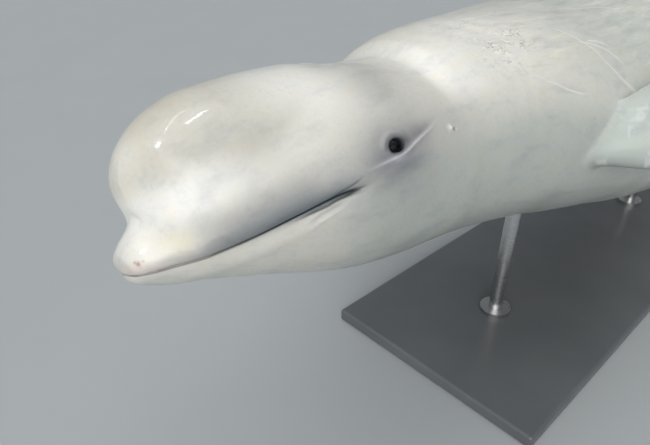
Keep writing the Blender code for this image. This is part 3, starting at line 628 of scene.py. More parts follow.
def row_angles(s):
    """Angles of the skin's rows at each station, dense beside the mouth and the eye."""
    top_x, top_z, low_x, low_z = ring_ends(s)
    share = np.full_like(s, 0.6)
    for _ in range(12):
        guide = curve(ROW_GUIDE, top_x + (low_x - top_x) * share)
        share = np.clip((top_z - guide) / (top_z - low_z), 0.40, 0.80)
    middle = np.arccos(1 - 2 * share)[:, None]
    above = curve(ROW_ABOVE, np.linspace(0, 1, ROWS_ABOVE + 1))[None, :]
    below = curve(ROW_BELOW, np.linspace(0, 1, ROWS_BELOW + 1))[None, 1:]
    return np.concatenate((middle * above, middle + (math.pi - middle) * below), 1)


def soften_notch(points, s):
    """Round off the sharp foot of the melon above the mouth, and more so on its sides."""
    above = points[..., 2] - curve(MOUTH, points[..., 0])
    for span, (near, far), rounds in NOTCHES:
        weight = 0.9 * plateau(*span, s)[:, None] * smoothstep(0.010, 0.025, above)
        weight = weight * smoothstep(near, far, points[..., 1])
        first, last = np.searchsorted(s, (span[0], span[-1]))
        part, weight = points[first:last], weight[first + 1:last - 1, :, None]
        for _ in range(rounds):
            mirror = part[:, 1:2] * np.array([1.0, -1.0, 1.0])
            wide = np.concatenate((mirror, part, part[:, -1:]), 1)
            mean = (part[2:] + part[:-2] + wide[1:-1, 2:] + wide[1:-1, :-2]) / 4
            part[1:-1] += weight * (mean - part[1:-1])
    return points


def side_grid(side):
    """Points of one side of the straight skin, with all its relief."""
    s = columns()
    x, y, z = section(s[:, None], row_angles(s))
    points = soften_notch(np.stack((x, y, z), -1), s)
    normal = np.cross(np.gradient(points, axis=0), np.gradient(points, axis=1))
    normal[:, (0, -1), 1] = 0
    normal = normal / np.linalg.norm(normal, axis=-1, keepdims=True)
    flip = np.array([1.0, side, 1.0])
    points, normal = points * flip, normal * flip
    return points + normal * relief(points, side)[..., None]


def cap(ring, bulge):
    """Rings that close one end of the skin, bulging a little."""
    centre = ring.mean(0)
    rings = []
    for turn in np.linspace(0, math.pi / 2 - CAP_OPENING, CAP_RINGS)[1:]:
        rings.append(centre + (ring - centre) * math.cos(turn) + np.array([bulge * math.sin(turn), 0, 0]))
    return np.array(rings)


def body_rings():
    """Rings of the whole straight body, closed at the beak and at the end of the tail."""
    right, left = side_grid(1), side_grid(-1)
    middle = (right + left) / 2
    right[:, (0, -1)] = middle[:, (0, -1)]
    rings = np.concatenate((right, left[:, -2:0:-1]), 1)
    return np.concatenate((cap(rings[0], BEAK_BULGE)[::-1], rings, cap(rings[-1], TAIL_BULGE)))


def foil():
    """Share of the chord and half thickness round a smooth foil, thickest near its front."""
    share = (1 - np.cos(np.linspace(0, math.pi, FOIL_STEPS + 1))) / 2
    body = 1.4845 * np.sqrt(share) - 0.63 * share - 1.758 * share**2 + 1.4215 * share**3 - 0.518 * share**4
    return np.concatenate((share, share[-2:0:-1])), np.concatenate((body, -body[-2:0:-1]))


def fin_places():
    """Shares of a fin's span at which its rings lie, closest at the tip."""
    return np.sin(np.linspace(0, math.pi / 2, FIN_RINGS))


def fin_outline(rows, t):
    """Leading edge, trailing edge, thickness and rise along a fin, with the table's bends softened."""
    outline = np.stack([curve(rows, t, column) for column in (1, 2, 3, 4)], -1)
    for _ in range(FIN_SMOOTHING):
        outline[1:-6] += (outline[:-7] + outline[2:-5] - 2 * outline[1:-6]) / 4
    return outline


def blade(rows, root, along, chord, up, span, flare, seed):
    """Rings of a fin, lofted outwards through foils with softly uneven edges and faces."""
    share, body = foil()
    rings = []
    for t, (lead, trail, thick, rise) in zip(fin_places(), fin_outline(rows, fin_places())):
        centre = np.asarray(root) + along * span * t + up * rise
        thick = thick * (1 + flare * fade(0.0, FIN_FLARE_SPAN, t))
        across = chord * (lead + (trail - lead) * share)[:, None]
        rings.append(centre + across + up * (body * thick)[:, None])
    rings = np.array(rings)
    middle = rings.mean(1, keepdims=True)
    t = np.linspace(0, 1, FIN_RINGS)[:, None, None]
    edge = np.abs(share - 0.5)[None, :, None] * 2
    uneven = 0.0016 * waves(rings, 0.045, 10, seed)[..., None] * edge**3 * smoothstep(0.2, 0.5, t)
    rings = rings + chord * uneven
    faces = 0.0007 * waves(rings, 0.060, 12, seed + 1)[..., None] * np.sign((rings - middle) @ up)[..., None]
    return rings + up * faces * (1 - edge) * smoothstep(0.1, 0.3, t)


def flipper_rings(name, side):
    """Flipper of one side, set by its lift, sweep and twist."""
    lift, sweep, twist = np.radians(FLIPPER_SET[name])
    out = np.array([math.sin(sweep), side * math.cos(sweep), 0.0])
    along = out * math.cos(lift) + np.array([0.0, 0.0, math.sin(lift)])
    chord = unit(np.array([1.0, 0.0, 0.0]) - along * along[0])
    up = np.cross(chord, along) * side
    turned = chord * math.cos(twist) + up * math.sin(twist)
    up = up * math.cos(twist) - chord * math.sin(twist)
    x, y, z = FLIPPER_ROOT[name]
    return blade(FLIPPER, (x, side * y, z), along, turned, up, FLIPPER_SPAN, FLIPPER_FLARE, 31 + side)


def fluke_rings(side):
    """Fluke of one side, level with the tail."""
    chord, out, up = np.eye(3)
    root = out * side * FLUKE_ROOT_Y
    return blade(FLUKE, root, out * side, chord, up, FLUKE_SPAN, FLUKE_FLARE, 41 + side)


def new_object(name, data):
    thing = bpy.data.objects.new(name, data)
    bpy.context.scene.collection.objects.link(thing)
    return thing


def point_values(mesh, name):
    """One of a mesh's point attributes as an array."""
    layer = mesh.attributes[name]
    field, width = ATTRIBUTE_FIELDS[layer.data_type]
    data = np.zeros(len(layer.data) * width, np.float32)
    layer.data.foreach_get(field, data)
    return data.reshape(-1, width).squeeze().astype(float)


def keep_values(mesh, name, kind, values):
    """Keep values on a mesh's points, as an attribute of one of the kinds in the table."""
    layer = mesh.attributes.get(name) or mesh.attributes.new(name, kind, "POINT")
    layer.data.foreach_set(ATTRIBUTE_FIELDS[kind][0], np.asarray(values, np.float32).ravel())


def keep_colours(mesh, colour):
    keep_values(mesh, "paint", "FLOAT_COLOR", np.column_stack((colour, np.ones(len(colour)))))


def tube(name, rings, fin, edge=0.0):
    """Closed posed mesh through equal rings, which remembers its straight points."""
    count, around = rings.shape[:2]
    flat = rings.reshape(-1, 3)
    i = (np.arange(count - 1) * around)[:, None]
    j = np.arange(around)[None, :]
    k = (j + 1) % around
    quads = np.stack((i + j, i + k, i + around + k, i + around + j), -1).reshape(-1, 4)
    corner, second, _, fourth = (flat[quads[:, column]] for column in range(4))
    volume = ((corner - flat.mean(0)) * np.cross(second - corner, fourth - corner)).sum()
    ends = [np.arange(around), np.arange(count * around - 1, (count - 1) * around - 1, -1)]
    faces = [tuple(map(int, quad)) for quad in quads]
    faces += [tuple(map(int, end[::-1])) for end in ends]
    if volume < 0:
        faces = [face[::-1] for face in faces]
    mesh = bpy.data.meshes.new(name)
    mesh.from_pydata(pose(flat).tolist(), [], faces)
    keep_values(mesh, "rest", "FLOAT_VECTOR", flat)
    keep_values(mesh, "fin", "FLOAT", np.full(len(flat), fin))
    keep_values(mesh, "edge", "FLOAT", np.broadcast_to(edge, (count, around)))
    return new_object(name, mesh)


def fin_edge():
    """How near a fin's rim each point of its rings is, from 0 to 1."""
    share, _ = foil()
    return np.maximum(np.abs(share - 0.5)[None, :] * 2, fin_places()[:, None] ** 6)


def join(body, fins):
    """Fuse the fins with the body into one closed surface."""
    group = bpy.data.collections.new("fins")
    for fin in fins:
        group.objects.link(fin)
    modifier = body.modifiers.new("join", "BOOLEAN")
    modifier.operation = "UNION"
    modifier.solver = "MANIFOLD"
    modifier.operand_type = "COLLECTION"
    modifier.collection = group
    depsgraph = bpy.context.evaluated_depsgraph_get()
    mesh = bpy.data.meshes.new_from_object(body.evaluated_get(depsgraph))
    body.modifiers.clear()
    body.data = mesh
    for fin in fins:
        bpy.data.objects.remove(fin)
    bpy.data.collections.remove(group)


def neighbour_sums(a, b, values):
    """Sum of the values at each point's neighbours, over edges from points a to points b."""
    count = len(values)
    return np.stack([np.bincount(a, column[b], count) + np.bincount(b, column[a], count)
                     for column in values.T], -1)


def mend_seam(mesh, a, b):
    """Give the new points on a fin's joint line the mean of what their neighbours remember."""
    names = {"rest": "FLOAT_VECTOR", "fin": "FLOAT", "edge": "FLOAT"}
    data = np.column_stack([point_values(mesh, name) for name in names])
    seam = lost = np.abs(data[:, :3]).sum(1) < 1e-6
    while lost.any():
        known = np.column_stack((data, np.ones(len(data)))) * ~lost[:, None]
        total = neighbour_sums(a, b, known)
        reached = lost & (total[:, -1] > 0)
        data[reached] = total[reached, :-1] / total[reached, -1:]
        lost = lost & ~reached
    for (name, kind), values in zip(names.items(), (data[:, :3], data[:, 3], data[:, 4])):
        keep_values(mesh, name, kind, values)
    return np.where(seam)[0]


def soften_joints(mesh):
    """Round off the line where each fin leaves the body, and let its mark fade in across it."""
    edges = np.zeros(len(mesh.edges) * 2, np.int32)
    mesh.edges.foreach_get("vertices", edges)
    a, b = edges.reshape(-1, 2).T
    seam = mend_seam(mesh, a, b)
    place = point_values(mesh, "position")
    tree = KDTree(len(seam))
    for k, vertex in enumerate(seam):
        tree.insert(place[vertex], k)
    tree.balance()
    x = point_values(mesh, "rest")[:, 0]
    gap = np.ones(len(place))
    for vertex in np.where(x > JOINTS_START)[0]:
        gap[vertex] = tree.find(place[vertex])[2]
    outside = np.sign(point_values(mesh, "fin") - 0.5)
    keep_values(mesh, "fin", "FLOAT", smoothstep(-FIN_FADE, FIN_FADE, gap * outside))
    weight = fade(0.15, 1.0, gap / np.where(x > TAIL_START, FLUKE_JOINT, FLIPPER_JOINT))
    moving = (weight[a] > 0) | (weight[b] > 0)
    a, b = a[moving], b[moving]
    links = neighbour_sums(a, b, np.ones((len(place), 1)))
    share = np.where(links > 0, 0.5 * weight[:, None], 0)
    for _ in range(JOINT_ROUNDS):
        place = place + (neighbour_sums(a, b, place) / np.maximum(links, 1) - place) * share
    mesh.vertices.foreach_set("co", place.astype(np.float32).ravel())
    mesh.update()


def tint(colour, *layers):
    """Colours under layers of other colours, each with its weight at every point."""
    for other, weight in layers:
        colour = colour + (np.array(other) - colour) * np.clip(weight, 0, 1)[:, None]
    return colour


def face_paint(colour, points):
    """Cream melon, a painted highlight along a band under it, painted shade on the slope of the upper lip,
    and the patches.
    """
    x, _, z = points.T
    foot = z - (0.070 + 0.13 * np.clip(x - 0.046, 0, 0.3))
    melon = smoothstep(-0.012, 0.030, foot) * fade(0.22, 0.30, x)
    middle = 0.064 + 0.15 * np.clip(x - 0.045, 0, 0.12)
    # Painted highlight along a band under the melon
    band = bell(np.clip(np.abs(z - middle) - 0.006, 0, None), 0, 0.027) * fade(0.11, 0.20, x)
    # Painted shade on the slope of the upper lip, which faces down
    slope = plateau(-0.004, 0.004, 0.016, 0.072, z - curve(MOUTH, x)) * fade(0.28, 0.36, x)
    slope = slope * (0.25 + 0.75 * smoothstep(0.03, 0.12, x)) * (1 - 0.7 * smoothstep(0.20, 0.27, x))
    patches = [(patch, strength * spot(x, z, *place)) for patch, strength, *place in HEAD_PATCHES]
    return tint(colour, (CREAM, melon), (BRIGHT, 0.95 * band), (LIP_SHADE, slope), *patches)


def mouth_paint(colour, points):
    """Pink front of the lips, and painted shade: a grey band along the upper lip's rolled edge, and the dark
    gap and creases between the lips.
    """
    x, _, z = points.T
    away = z - curve(MOUTH, x)
    lip = plateau(0.06, 0.19, 0.25, 0.32, x)
    # Painted shade in a grey band along the upper lip's rolled edge
    band = lip * (0.66 * bell(away, 0.003, 0.008) + 0.32 * bell(away, 0.014, 0.012))
    front = fade(0.02, 0.07, x)
    present = fade(MOUTH_CORNER - 0.012, MOUTH_CORNER + 0.004, x)
    # Painted shade: the dark line in the gap between the lips, darker where they part
    gap = (0.70 + 0.22 * smoothstep(0.05, 0.20, x)) * present * bell(away, -0.0006, 0.0013)
    parted = plateau(0.175, 0.235, 0.270, 0.300, x) * plateau(-0.0082, -0.0050, 0.0005, 0.0040, away)
    colour = tint(colour, (LIP_GREY_SHADE, band), (LIP_PINK, 0.35 * front * bell(away, 0.006, 0.009)),
                  (SLATE, gap), (LIP_GAP_SHADE, 0.60 * parted))
    # Painted shade in the creases at the mouth's corner and along the lower lip
    for rows, width, strength in ((CORNER_CREASE, 0.0014, 0.60), (LOWER_LIP_EDGE, 0.0016, 0.85)):
        line, weight = stroke(points, rows)
        colour = tint(colour, (SLATE, strength * weight * bell(line, 0, width)))
    return colour


def fold_paint(colour, points):
    """Painted highlight on the crest of the lid's fold, painted shade on its sides, and painted shade in the
    soft fold of the cheek.
    """
    lid, on_lid = stroke(points, LID_FOLD)
    cheek, on_cheek = stroke(points, CHEEK_FOLD)
    rear = smoothstep(0.365, 0.385, points[:, 0])
    return tint(colour, (MAUVE_SHADE, on_lid * (0.30 + 0.25 * rear) * bell(lid, 0.0075, 0.0055)),
                (MAUVE_SHADE, on_lid * 0.25 * bell(lid, -0.010, 0.007)),
                (LAVENDER, on_lid * 0.75 * bell(lid, 0.0005, 0.0022)),
                (MAUVE_SHADE, on_cheek * 0.25 * bell(cheek, 0.004, 0.004)))


def eye_paint(colour, points, side):
    """Painted shade in front of the eye, in a halo round its lids and in a smear behind it; a pale patch
    under it; and its black rim.
    """
    out, a, b = lid_distance(points, side)
    patches = [(patch, strength * spot(a, b, *place)) for patch, strength, *place in EYE_PATCHES]
    # Painted shade in a halo round the lids, wider and stronger above, under the hood
    halo = bell(np.clip(out, 0, None), 0, 0.0032 + 0.0022 * smoothstep(-0.004, 0.006, b))
    halo = 0.80 * halo * (0.55 + 0.45 * smoothstep(-0.010, -0.002, b))
    return tint(colour, *patches, (EYE_SHADE, halo), (SLATE, 0.95 * fade(0.0006, 0.0022, out)))


def ear_paint(colour, points, side):
    """Painted shade in the ear opening, and the bright swelling in front of it."""
    a, b = offsets(points, EAR_X, EAR_Z, side)
    return tint(colour, (BRIGHT, 0.7 * spot(a, b, *EAR_SWELLING, 0.0045, 0.0045)),
                (SLATE, 0.85 * spot(a, b, 0, 0, 0.0019, 0.0019)))


def head_paint(colour, points, side):
    """All colours of one side of the head."""
    for part in (face_paint, mouth_paint, fold_paint):
        colour = part(colour, points)
    return ear_paint(eye_paint(colour, points, side), points, side)


def beak_spot(colour, points):
    """Small worn spot on the left of the upper lip."""
    return tint(colour, *((SORE, strength * np.exp(-((points - place) ** 2).sum(1) / reach**2))
                          for place, reach, strength in BEAK_SPOTS))


def flank_paint(colour, points, fin):
    """Greyer lower half behind the mouth, as painted shade that weakens towards the tail."""
    x, _, z = points.T
    low = fade(-0.03, 0.07, z)
    flank = smoothstep(0.20, 0.36, x) * low * (0.70 - 0.40 * smoothstep(0.9, 1.5, x)) * (1 - fin)
    return tint(colour, (FLANK_SHADE, flank))


def trunk_paint(colour, points, fin, edge):
    """Cooler back with a painted greenish reflection, painted highlights behind the crown, grey ridge,
    painted shade in the blowhole and the belly's marks, and rims of the fins.
    """
    x, y, z = points.T
    high = smoothstep(0.04, 0.09, z)
    on_flipper = x < TAIL_START
    # Painted greenish reflection on the upper back, faint on the neck and full from a metre behind the beak
    reflection = (0.05 + 0.70 * smoothstep(0.68, 1.00, x)) * smoothstep(0.50, 0.60, x) * (1 - fin)
    _, swell = ridge_swell(x)
    slit, _ = blowhole_distance(points)
    marks = bell(x, NAVEL_X, 0.012) + (np.abs(x - SLIT_MIDDLE) < SLIT_HALF) + bell(x, VENT_X, 0.012)
    colour = tint(colour, (COOL_REFLECTION, reflection * smoothstep(-0.02, 0.12, z)),
                  # Painted highlights behind the crown's rim and on the shoulder
                  (BRIGHT, 0.48 * bell(x, crown_rim(y) + 0.055, 0.040) * high * (1 - fin)),
                  (BRIGHT, 0.45 * spot(x, y, *SHOULDER_SHINE) * high),
                  (GREY_AND_SHADE, 0.45 * swell * bell(y, 0, 0.020) * (z > 0.1)),
                  # Painted shade in and beside the blowhole's slit
                  (GREY_AND_SHADE, 0.45 * bell(slit, 0.003, 0.006)),
                  (SLATE, 0.9 * bell(slit, 0, 0.0020)),
                  # Painted shade in the navel, the slits and the vent
                  (GREY_AND_SHADE, 0.45 * marks * bell(y, 0, 0.006) * (z < 0)),
                  (FIN_WHITE, fin * np.where(on_flipper, 0.90, 0.45)),
                  (GREY_AND_SHADE, fin * edge**5 * np.where(on_flipper, 0.30, 0.60)))
    cloud = 0.5 * waves(points, 0.24, 8, 51) + 0.3 * waves(points, 0.09, 10, 52)
    cloud = cloud + 0.2 * waves(points, 0.035, 12, 53)
    return colour * (1 + 0.028 * cloud)[:, None]


def paint(mesh):
    """Keep the skin's colours and the places of its marks on its points."""
    points, fin, edge = (point_values(mesh, name) for name in ("rest", "fin", "edge"))
    x, y, z = points.T
    colour = flank_paint(np.tile(np.array(IVORY), (len(points), 1)), points, fin)
    for side in SIDES.values():
        here = (x < FACE_END) & ((y > 0) == (side > 0))
        colour[here] = head_paint(colour[here], points[here], side)
    colour = trunk_paint(beak_spot(colour, points), points, fin, edge)
    keep_colours(mesh, np.clip(colour, 0.004, 0.9))
    fleck = sum(strength * spot(x, y, *place) for strength, *place in FLECKS) * (z > 0.05)
    keep_values(mesh, "fleck", "FLOAT", fleck)
    worn = smoothstep(0.52, 0.75, x) * smoothstep(0.02, 0.14, z) * (1 - 0.5 * fin)
    keep_values(mesh, "worn", "FLOAT", worn)


def fill(tree, made, inputs):
    """Give a node's inputs values, or links from other nodes' outputs."""
    for key, value in inputs.items():
        if isinstance(value, bpy.types.NodeSocket):
            tree.links.new(value, made.inputs[key])
        else:
            made.inputs[key].default_value = value


def node(tree, kind, inputs, output=0, **settings):
    """Output of a new shader node with its settings."""
    made = tree.nodes.new("ShaderNode" + kind)
    for name, value in settings.items():
        setattr(made, name, value)
    fill(tree, made, inputs)
    return made.outputs[output]


def maths(tree, operation, *values):
    return node(tree, "Math", dict(enumerate(values)), operation=operation)


def times(tree, first, second):
    return maths(tree, "MULTIPLY", first, second)


def vector_maths(tree, operation, vector, other, output=0):
    """Product or difference of two vectors, or their dot product, which is output 1."""
    return node(tree, "VectorMath", {0: vector, 1: other}, output, operation=operation)


def noise(tree, vector, scale, detail=3.0, roughness=0.55, distortion=0.0):
    return node(tree, "TexNoise", {"Vector": vector, "Scale": scale, "Detail": detail,
                                   "Roughness": roughness, "Distortion": distortion})


def stretched(tree, vector, factors, *settings):
    """Noise that is drawn out along the axes whose factor is small."""
    return noise(tree, vector_maths(tree, "MULTIPLY", vector, factors), *settings)


def ramp(tree, value, low, high, to_low=0.0, to_high=1.0):
    """Value moved from one range to another and held inside it."""
    return node(tree, "MapRange", {0: value, 1: low, 2: high, 3: to_low, 4: to_high})


def mixed(tree, factor, first, second, blend="MIX"):
    """Mix of two colours, of which the second is given as red, green and blue."""
    return node(tree, "Mix", {0: factor, 6: first, 7: (*second, 1)}, 2, data_type="RGBA", blend_type=blend)


def bumps(tree, *layers):
    """Normal after layers of bumps, each with a strength, a depth and a height."""
    normal = {}
    for strength, depth, height in layers:
        inputs = {"Strength": strength, "Distance": depth, "Height": height}
        normal = {"Normal": node(tree, "Bump", inputs | normal)}
    return normal["Normal"]


def material(name, sockets):
    """A new Principled material, with values set on its own sockets."""
    made = bpy.data.materials.new(name)
    made.use_nodes = True
    shader = made.node_tree.nodes["Principled BSDF"]
    fill(made.node_tree, shader, sockets)
    return made, made.node_tree, shader


def attribute(tree, name, output="Fac"):
    return node(tree, "Attribute", {}, output, attribute_name=name)


def scratch(tree, rest, start_x, start_y, end_x, end_y, bow, width):
    """Strength of one scratch, drawn in plan on the back of the straight whale."""
    length = math.hypot(end_x - start_x, end_y - start_y)
    along_x, along_y = (end_x - start_x) / length, (end_y - start_y) / length
    moved = vector_maths(tree, "SUBTRACT", rest, (start_x, start_y, 0))
    run = vector_maths(tree, "DOT_PRODUCT", moved, (along_x / length, along_y / length, 0), 1)
    off = vector_maths(tree, "DOT_PRODUCT", moved, (-along_y, along_x, 0), 1)
    arch = times(tree, times(tree, run, maths(tree, "SUBTRACT", 1.0, run)), 4 * bow)
    miss = maths(tree, "ABSOLUTE", maths(tree, "SUBTRACT", off, arch))
    ends = times(tree, ramp(tree, run, 0.0, 0.15), ramp(tree, run, 0.8, 1.0, 1.0, 0.0))
    return times(tree, ramp(tree, miss, 0.0, width, 1.0, 0.0), ends)


def scar_mask(tree, rest):
    """All the scratches, on the upper side only."""
    scar = scratch(tree, rest, *SCRATCHES[0])
    for row in SCRATCHES[1:]:
        scar = maths(tree, "MAXIMUM", scar, scratch(tree, rest, *row))
    return times(tree, scar, ramp(tree, node(tree, "SeparateXYZ", {0: rest}, 2), -0.02, 0.02))


def skin_material():
    """Wet, pale skin: painted tints, clouding, long worn streaks, flecks and scratches."""
    made, tree, shader = material("skin", SKIN_SOCKETS)
    rest = attribute(tree, "rest", "Vector")
    colour = attribute(tree, "paint", "Color")
    fleck, worn, fin = (attribute(tree, name) for name in ("fleck", "worn", "fin"))
    cloud = noise(tree, rest, 16.0, 5.0, 0.60)
    grain = noise(tree, rest, 130.0, 4.0, 0.60)
    mottle = stretched(tree, rest, (0.40, 1.0, 1.0), 34.0, 5.0, 0.62)
    for source, low, high, *shade in ((cloud, 0.40, 0.68, 1.03, 1.03, 1.02),
                                      (grain, 0.52, 0.75, 0.94, 0.93, 0.92),
                                      (mottle, 0.50, 0.68, 1.02, 1.00, 0.95),
                                      (mottle, 0.48, 0.32, 0.89, 0.90, 0.91)):
        colour = mixed(tree, ramp(tree, source, low, high), colour, shade, "MULTIPLY")
    long = stretched(tree, rest, (0.16, 1.0, 1.0), 62.0, 4.0, 0.62)
    streak = times(tree, ramp(tree, long, 0.54, 0.72), worn)
    dull = times(tree, ramp(tree, long, 0.46, 0.32), worn)
    peel = stretched(tree, rest, (0.7, 1.0, 1.0), 110.0, 2.0, 0.5)
    patchy = times(tree, ramp(tree, noise(tree, rest, 42.0, 2.0), 0.44, 0.56), fleck)
    brim = ramp(tree, maths(tree, "ABSOLUTE", maths(tree, "SUBTRACT", peel, 0.47)), 0.008, 0.022, 1.0, 0.0)
    pale = times(tree, ramp(tree, peel, 0.50, 0.56), patchy)
    dark = times(tree, brim, patchy)
    marble = noise(tree, rest, 30.0, 4.0, 0.5, 0.7)
    veins = times(tree, ramp(tree, marble, 0.40, 0.62, 1.0, 0.0), fin)
    crests = times(tree, ramp(tree, marble, 0.56, 0.72), fin)
    scar = scar_mask(tree, rest)
    for mask, strength, *shade in ((streak, 0.55, 0.88, 0.85, 0.75), (dull, 0.42, 0.43, 0.41, 0.39),
                                   (pale, 0.75, 0.90, 0.88, 0.81), (dark, 0.75, 0.14, 0.14, 0.13),
                                   (veins, 0.30, 0.47, 0.50, 0.46), (crests, 0.40, 0.85, 0.86, 0.83),
                                   (scar, 0.75, 0.88, 0.87, 0.82)):
        colour = mixed(tree, times(tree, mask, strength), colour, shade)
    pores = noise(tree, rest, 900.0, 2.0, 0.5)
    wrinkle = stretched(tree, rest, (1.0, 0.45, 0.45), 300.0, 3.0, 0.6)
    raised = maths(tree, "ADD", maths(tree, "SUBTRACT", pale, dark), maths(tree, "SUBTRACT", streak, scar))
    under = bumps(tree, (0.30, 0.0012, grain), (0.22, 0.0006, wrinkle), (0.16, 0.0003, pores),
                  (0.45, 0.0012, raised))
    wet = bumps(tree, (0.05, 0.0010, grain), (0.35, 0.0010, raised))
    fill(tree, shader, {"Base Color": colour, "Roughness": ramp(tree, grain, 0.3, 0.7, 0.34, 0.47),
                        "Normal": under, "Coat Normal": wet})
    return made


def eyeball(name, side):
    """Eyeball with a bulging cornea, painted with a long pupil and a dark brown iris."""
    centre, normal, along, up = side_frame(EYE_X, EYE_Z, side)
    lean = np.linspace(0, math.pi, EYE_ROWS + 1)[1:-1, None]
    turn = np.linspace(0, 2 * math.pi, EYE_SIDES, endpoint=False)
    radius = EYE_RADIUS - BALL_CLEARANCE + CORNEA_RISE * bell(lean, 0, 0.38)
    out = radius * np.cos(lean) - EYE_DEPTH
    across = radius * np.sin(lean) * np.cos(turn)
    rise = radius * np.sin(lean) * np.sin(turn)
    points = centre + along * across[..., None] + up * rise[..., None] + normal * out[..., None]
    thing = tube(name, points, 0.0)
    ring = np.hypot(across, rise).ravel() / IRIS_RADIUS
    oval = np.hypot(across / PUPIL_HALF_LENGTH, rise / PUPIL_HALF_HEIGHT).ravel()
    colour = np.tile(np.array(EYE_WHITE), (oval.size, 1))
    colour = tint(colour, (EYE_BROWN, fade(0.92, 1.04, ring)), (EYE_RIM, bell(ring, 0.97, 0.10)),
                  (PUPIL, fade(0.9, 1.05, oval)))
    colour[~np.repeat(lean < math.pi / 2, EYE_SIDES)] = EYE_WHITE
    keep_colours(thing.data, colour)
    thing.data.shade_smooth()
    return thing


def eye_material():
    """Dark, wet eyeball with a faint fibre in its colours."""
    made, tree, shader = material("eye", {"Roughness": 0.07, "IOR": 1.38, "Specular IOR Level": 0.10})
    fibre = ramp(tree, noise(tree, attribute(tree, "rest", "Vector"), 1400.0), 0.45, 0.75, 0.0, 0.20)
    colour = mixed(tree, fibre, attribute(tree, "paint", "Color"), (0.016, 0.014, 0.014))
    fill(tree, shader, {"Base Color": colour})
    return made


def base_material():
    """Dark satin lacquer with a faint orange-peel surface."""
    sockets = {"Roughness": 0.38, "Coat Weight": 0.25, "Coat Roughness": 0.20}
    made, tree, shader = material("stand_paint", sockets)
    place = node(tree, "TexCoord", {}, "Object")
    cloud = ramp(tree, noise(tree, place, 3.0, 4.0), 0.35, 0.65)
    fill(tree, shader, {"Base Color": mixed(tree, cloud, (0.105, 0.112, 0.120, 1), (0.130, 0.137, 0.145)),
                        "Roughness": ramp(tree, noise(tree, place, 9.0, 4.0), 0.3, 0.7, 0.32, 0.46),
                        "Normal": bumps(tree, (0.12, 0.0005, noise(tree, place, 420.0, 2.0)))})
    return made


def steel_material():
    """Brushed steel, with fine rings round the rods."""
    made, tree, shader = material("stand_steel", {"Metallic": 1.0, "Roughness": 0.30, "Anisotropic": 0.5})
    brushed = stretched(tree, node(tree, "TexCoord", {}, "Object"), (14.0, 14.0, 900.0), 1.0)
    fill(tree, shader, {"Base Color": mixed(tree, brushed, (0.50, 0.51, 0.52, 1), (0.62, 0.62, 0.62)),
                        "Roughness": ramp(tree, brushed, 0.3, 0.7, 0.22, 0.40),
                        "Normal": bumps(tree, (0.08, 0.0002, brushed))})
    return made


def make_floor():
    """Plain pale floor, with faintly clouded paint."""
    mesh = bpy.data.meshes.new("floor")
    reach = FLOOR_REACH
    corners = [(-reach, -reach, 0), (reach, -reach, 0), (reach, reach, 0), (-reach, reach, 0)]
    mesh.from_pydata(corners, [], [(0, 1, 2, 3)])
    floor = new_object("floor", mesh)
    made, tree, shader = material("floor", {"Roughness": 0.62})
    cloud = noise(tree, node(tree, "TexCoord", {}, "Object"), 2.0, 4.0)
    fill(tree, shader, {"Base Color": mixed(tree, cloud, (0.400, 0.425, 0.440, 1), (0.430, 0.455, 0.470))})
    mesh.materials.append(made)


def sky_light(name, way, strength, angle, colour):
    """Even light from one side of the room, shining along a direction."""
    data = bpy.data.lights.new(name, "SUN")
    data.energy = strength
    data.angle = math.radians(angle)
    data.color = colour
    light = new_object(name, data)
    light.rotation_euler = Vector(way).to_track_quat("-Z", "Y").to_euler()


def strip_light(name, start, end, width, power):
    """Narrow ceiling lamp between two places, for a glint on the wet skin."""
    run_x, run_y = end[0] - start[0], end[1] - start[1]
    data = bpy.data.lights.new(name, "AREA")
    data.shape = "RECTANGLE"
    data.size = math.hypot(run_x, run_y)
    data.size_y = width
    data.energy = power
    light = new_object(name, data)
    light.location = (start[0] + run_x / 2, start[1] + run_y / 2, LAMP_HEIGHT)
    light.rotation_euler = (0, 0, math.atan2(run_y, run_x))
    light.visible_diffuse = False


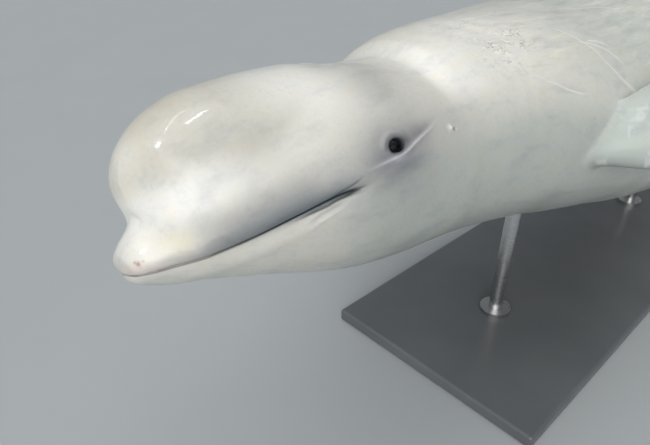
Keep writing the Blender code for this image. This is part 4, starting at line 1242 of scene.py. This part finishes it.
def make_light():
    """Pale surroundings, soft light from two sides, and the lamps for the glints."""
    world = bpy.data.worlds.new("world")
    bpy.context.scene.world = world
    world.use_nodes = True
    tree = world.node_tree
    fill(tree, tree.nodes["Background"], {"Color": SKY_COLOUR, "Strength": SKY_STRENGTH})
    for row in SKY_LIGHTS:
        sky_light(*row)
    for row in STRIP_LIGHTS:
        strip_light(*row)


def make_camera():
    """Camera that stands where the photograph's stood."""
    data = bpy.data.cameras.new("camera")
    data.sensor_width = SENSOR_WIDTH
    data.lens = CAMERA_FOCUS / FRAME_WIDTH * SENSOR_WIDTH
    camera = new_object("camera", data)
    camera.location = CAMERA_PLACE
    camera.rotation_euler = (math.radians(90 - CAMERA_PITCH), 0, math.radians(-CAMERA_YAW))
    bpy.context.scene.camera = camera


def make_skin(nodes):
    """One skin of body and fins, in place of all the nodes of flesh."""
    body = tube("skin", body_rings(), 0.0)
    fins = []
    for name, side in SIDES.items():
        fins.append(tube("flipper", flipper_rings(name, side), 1.0, fin_edge()))
        fins.append(tube("fluke", fluke_rings(side), 1.0, fin_edge()))
    join(body, fins)
    soften_joints(body.data)
    paint(body.data)
    body.data.shade_smooth()
    body.data.materials.clear()
    body.data.materials.append(skin_material())
    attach(body, "root")
    flesh = [name for name in nodes if not name.startswith(("eye_", "stand_"))]
    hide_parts(*flesh)


def make_eyes():
    """An eyeball for each side, in place of its node."""
    finish = eye_material()
    for name, side in SIDES.items():
        ball = eyeball("eyeball_" + name, side)
        ball.data.materials.append(finish)
        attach(ball, "root")
        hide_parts("eye_" + name)


def finish_stand(nodes):
    """Paint on the stand's base, and steel on its rods and collars."""
    paint_finish, steel_finish = base_material(), steel_material()
    for name, thing in nodes.items():
        if name.startswith("stand_"):
            thing.data.materials.clear()
            thing.data.materials.append(paint_finish if name == "stand_base" else steel_finish)


def main():
    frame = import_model()
    nodes = frame["nodes"]
    make_skin(nodes)
    make_eyes()
    finish_stand(nodes)
    make_floor()
    make_light()
    make_camera()
    bpy.context.scene.view_settings.view_transform = "Standard"


main()
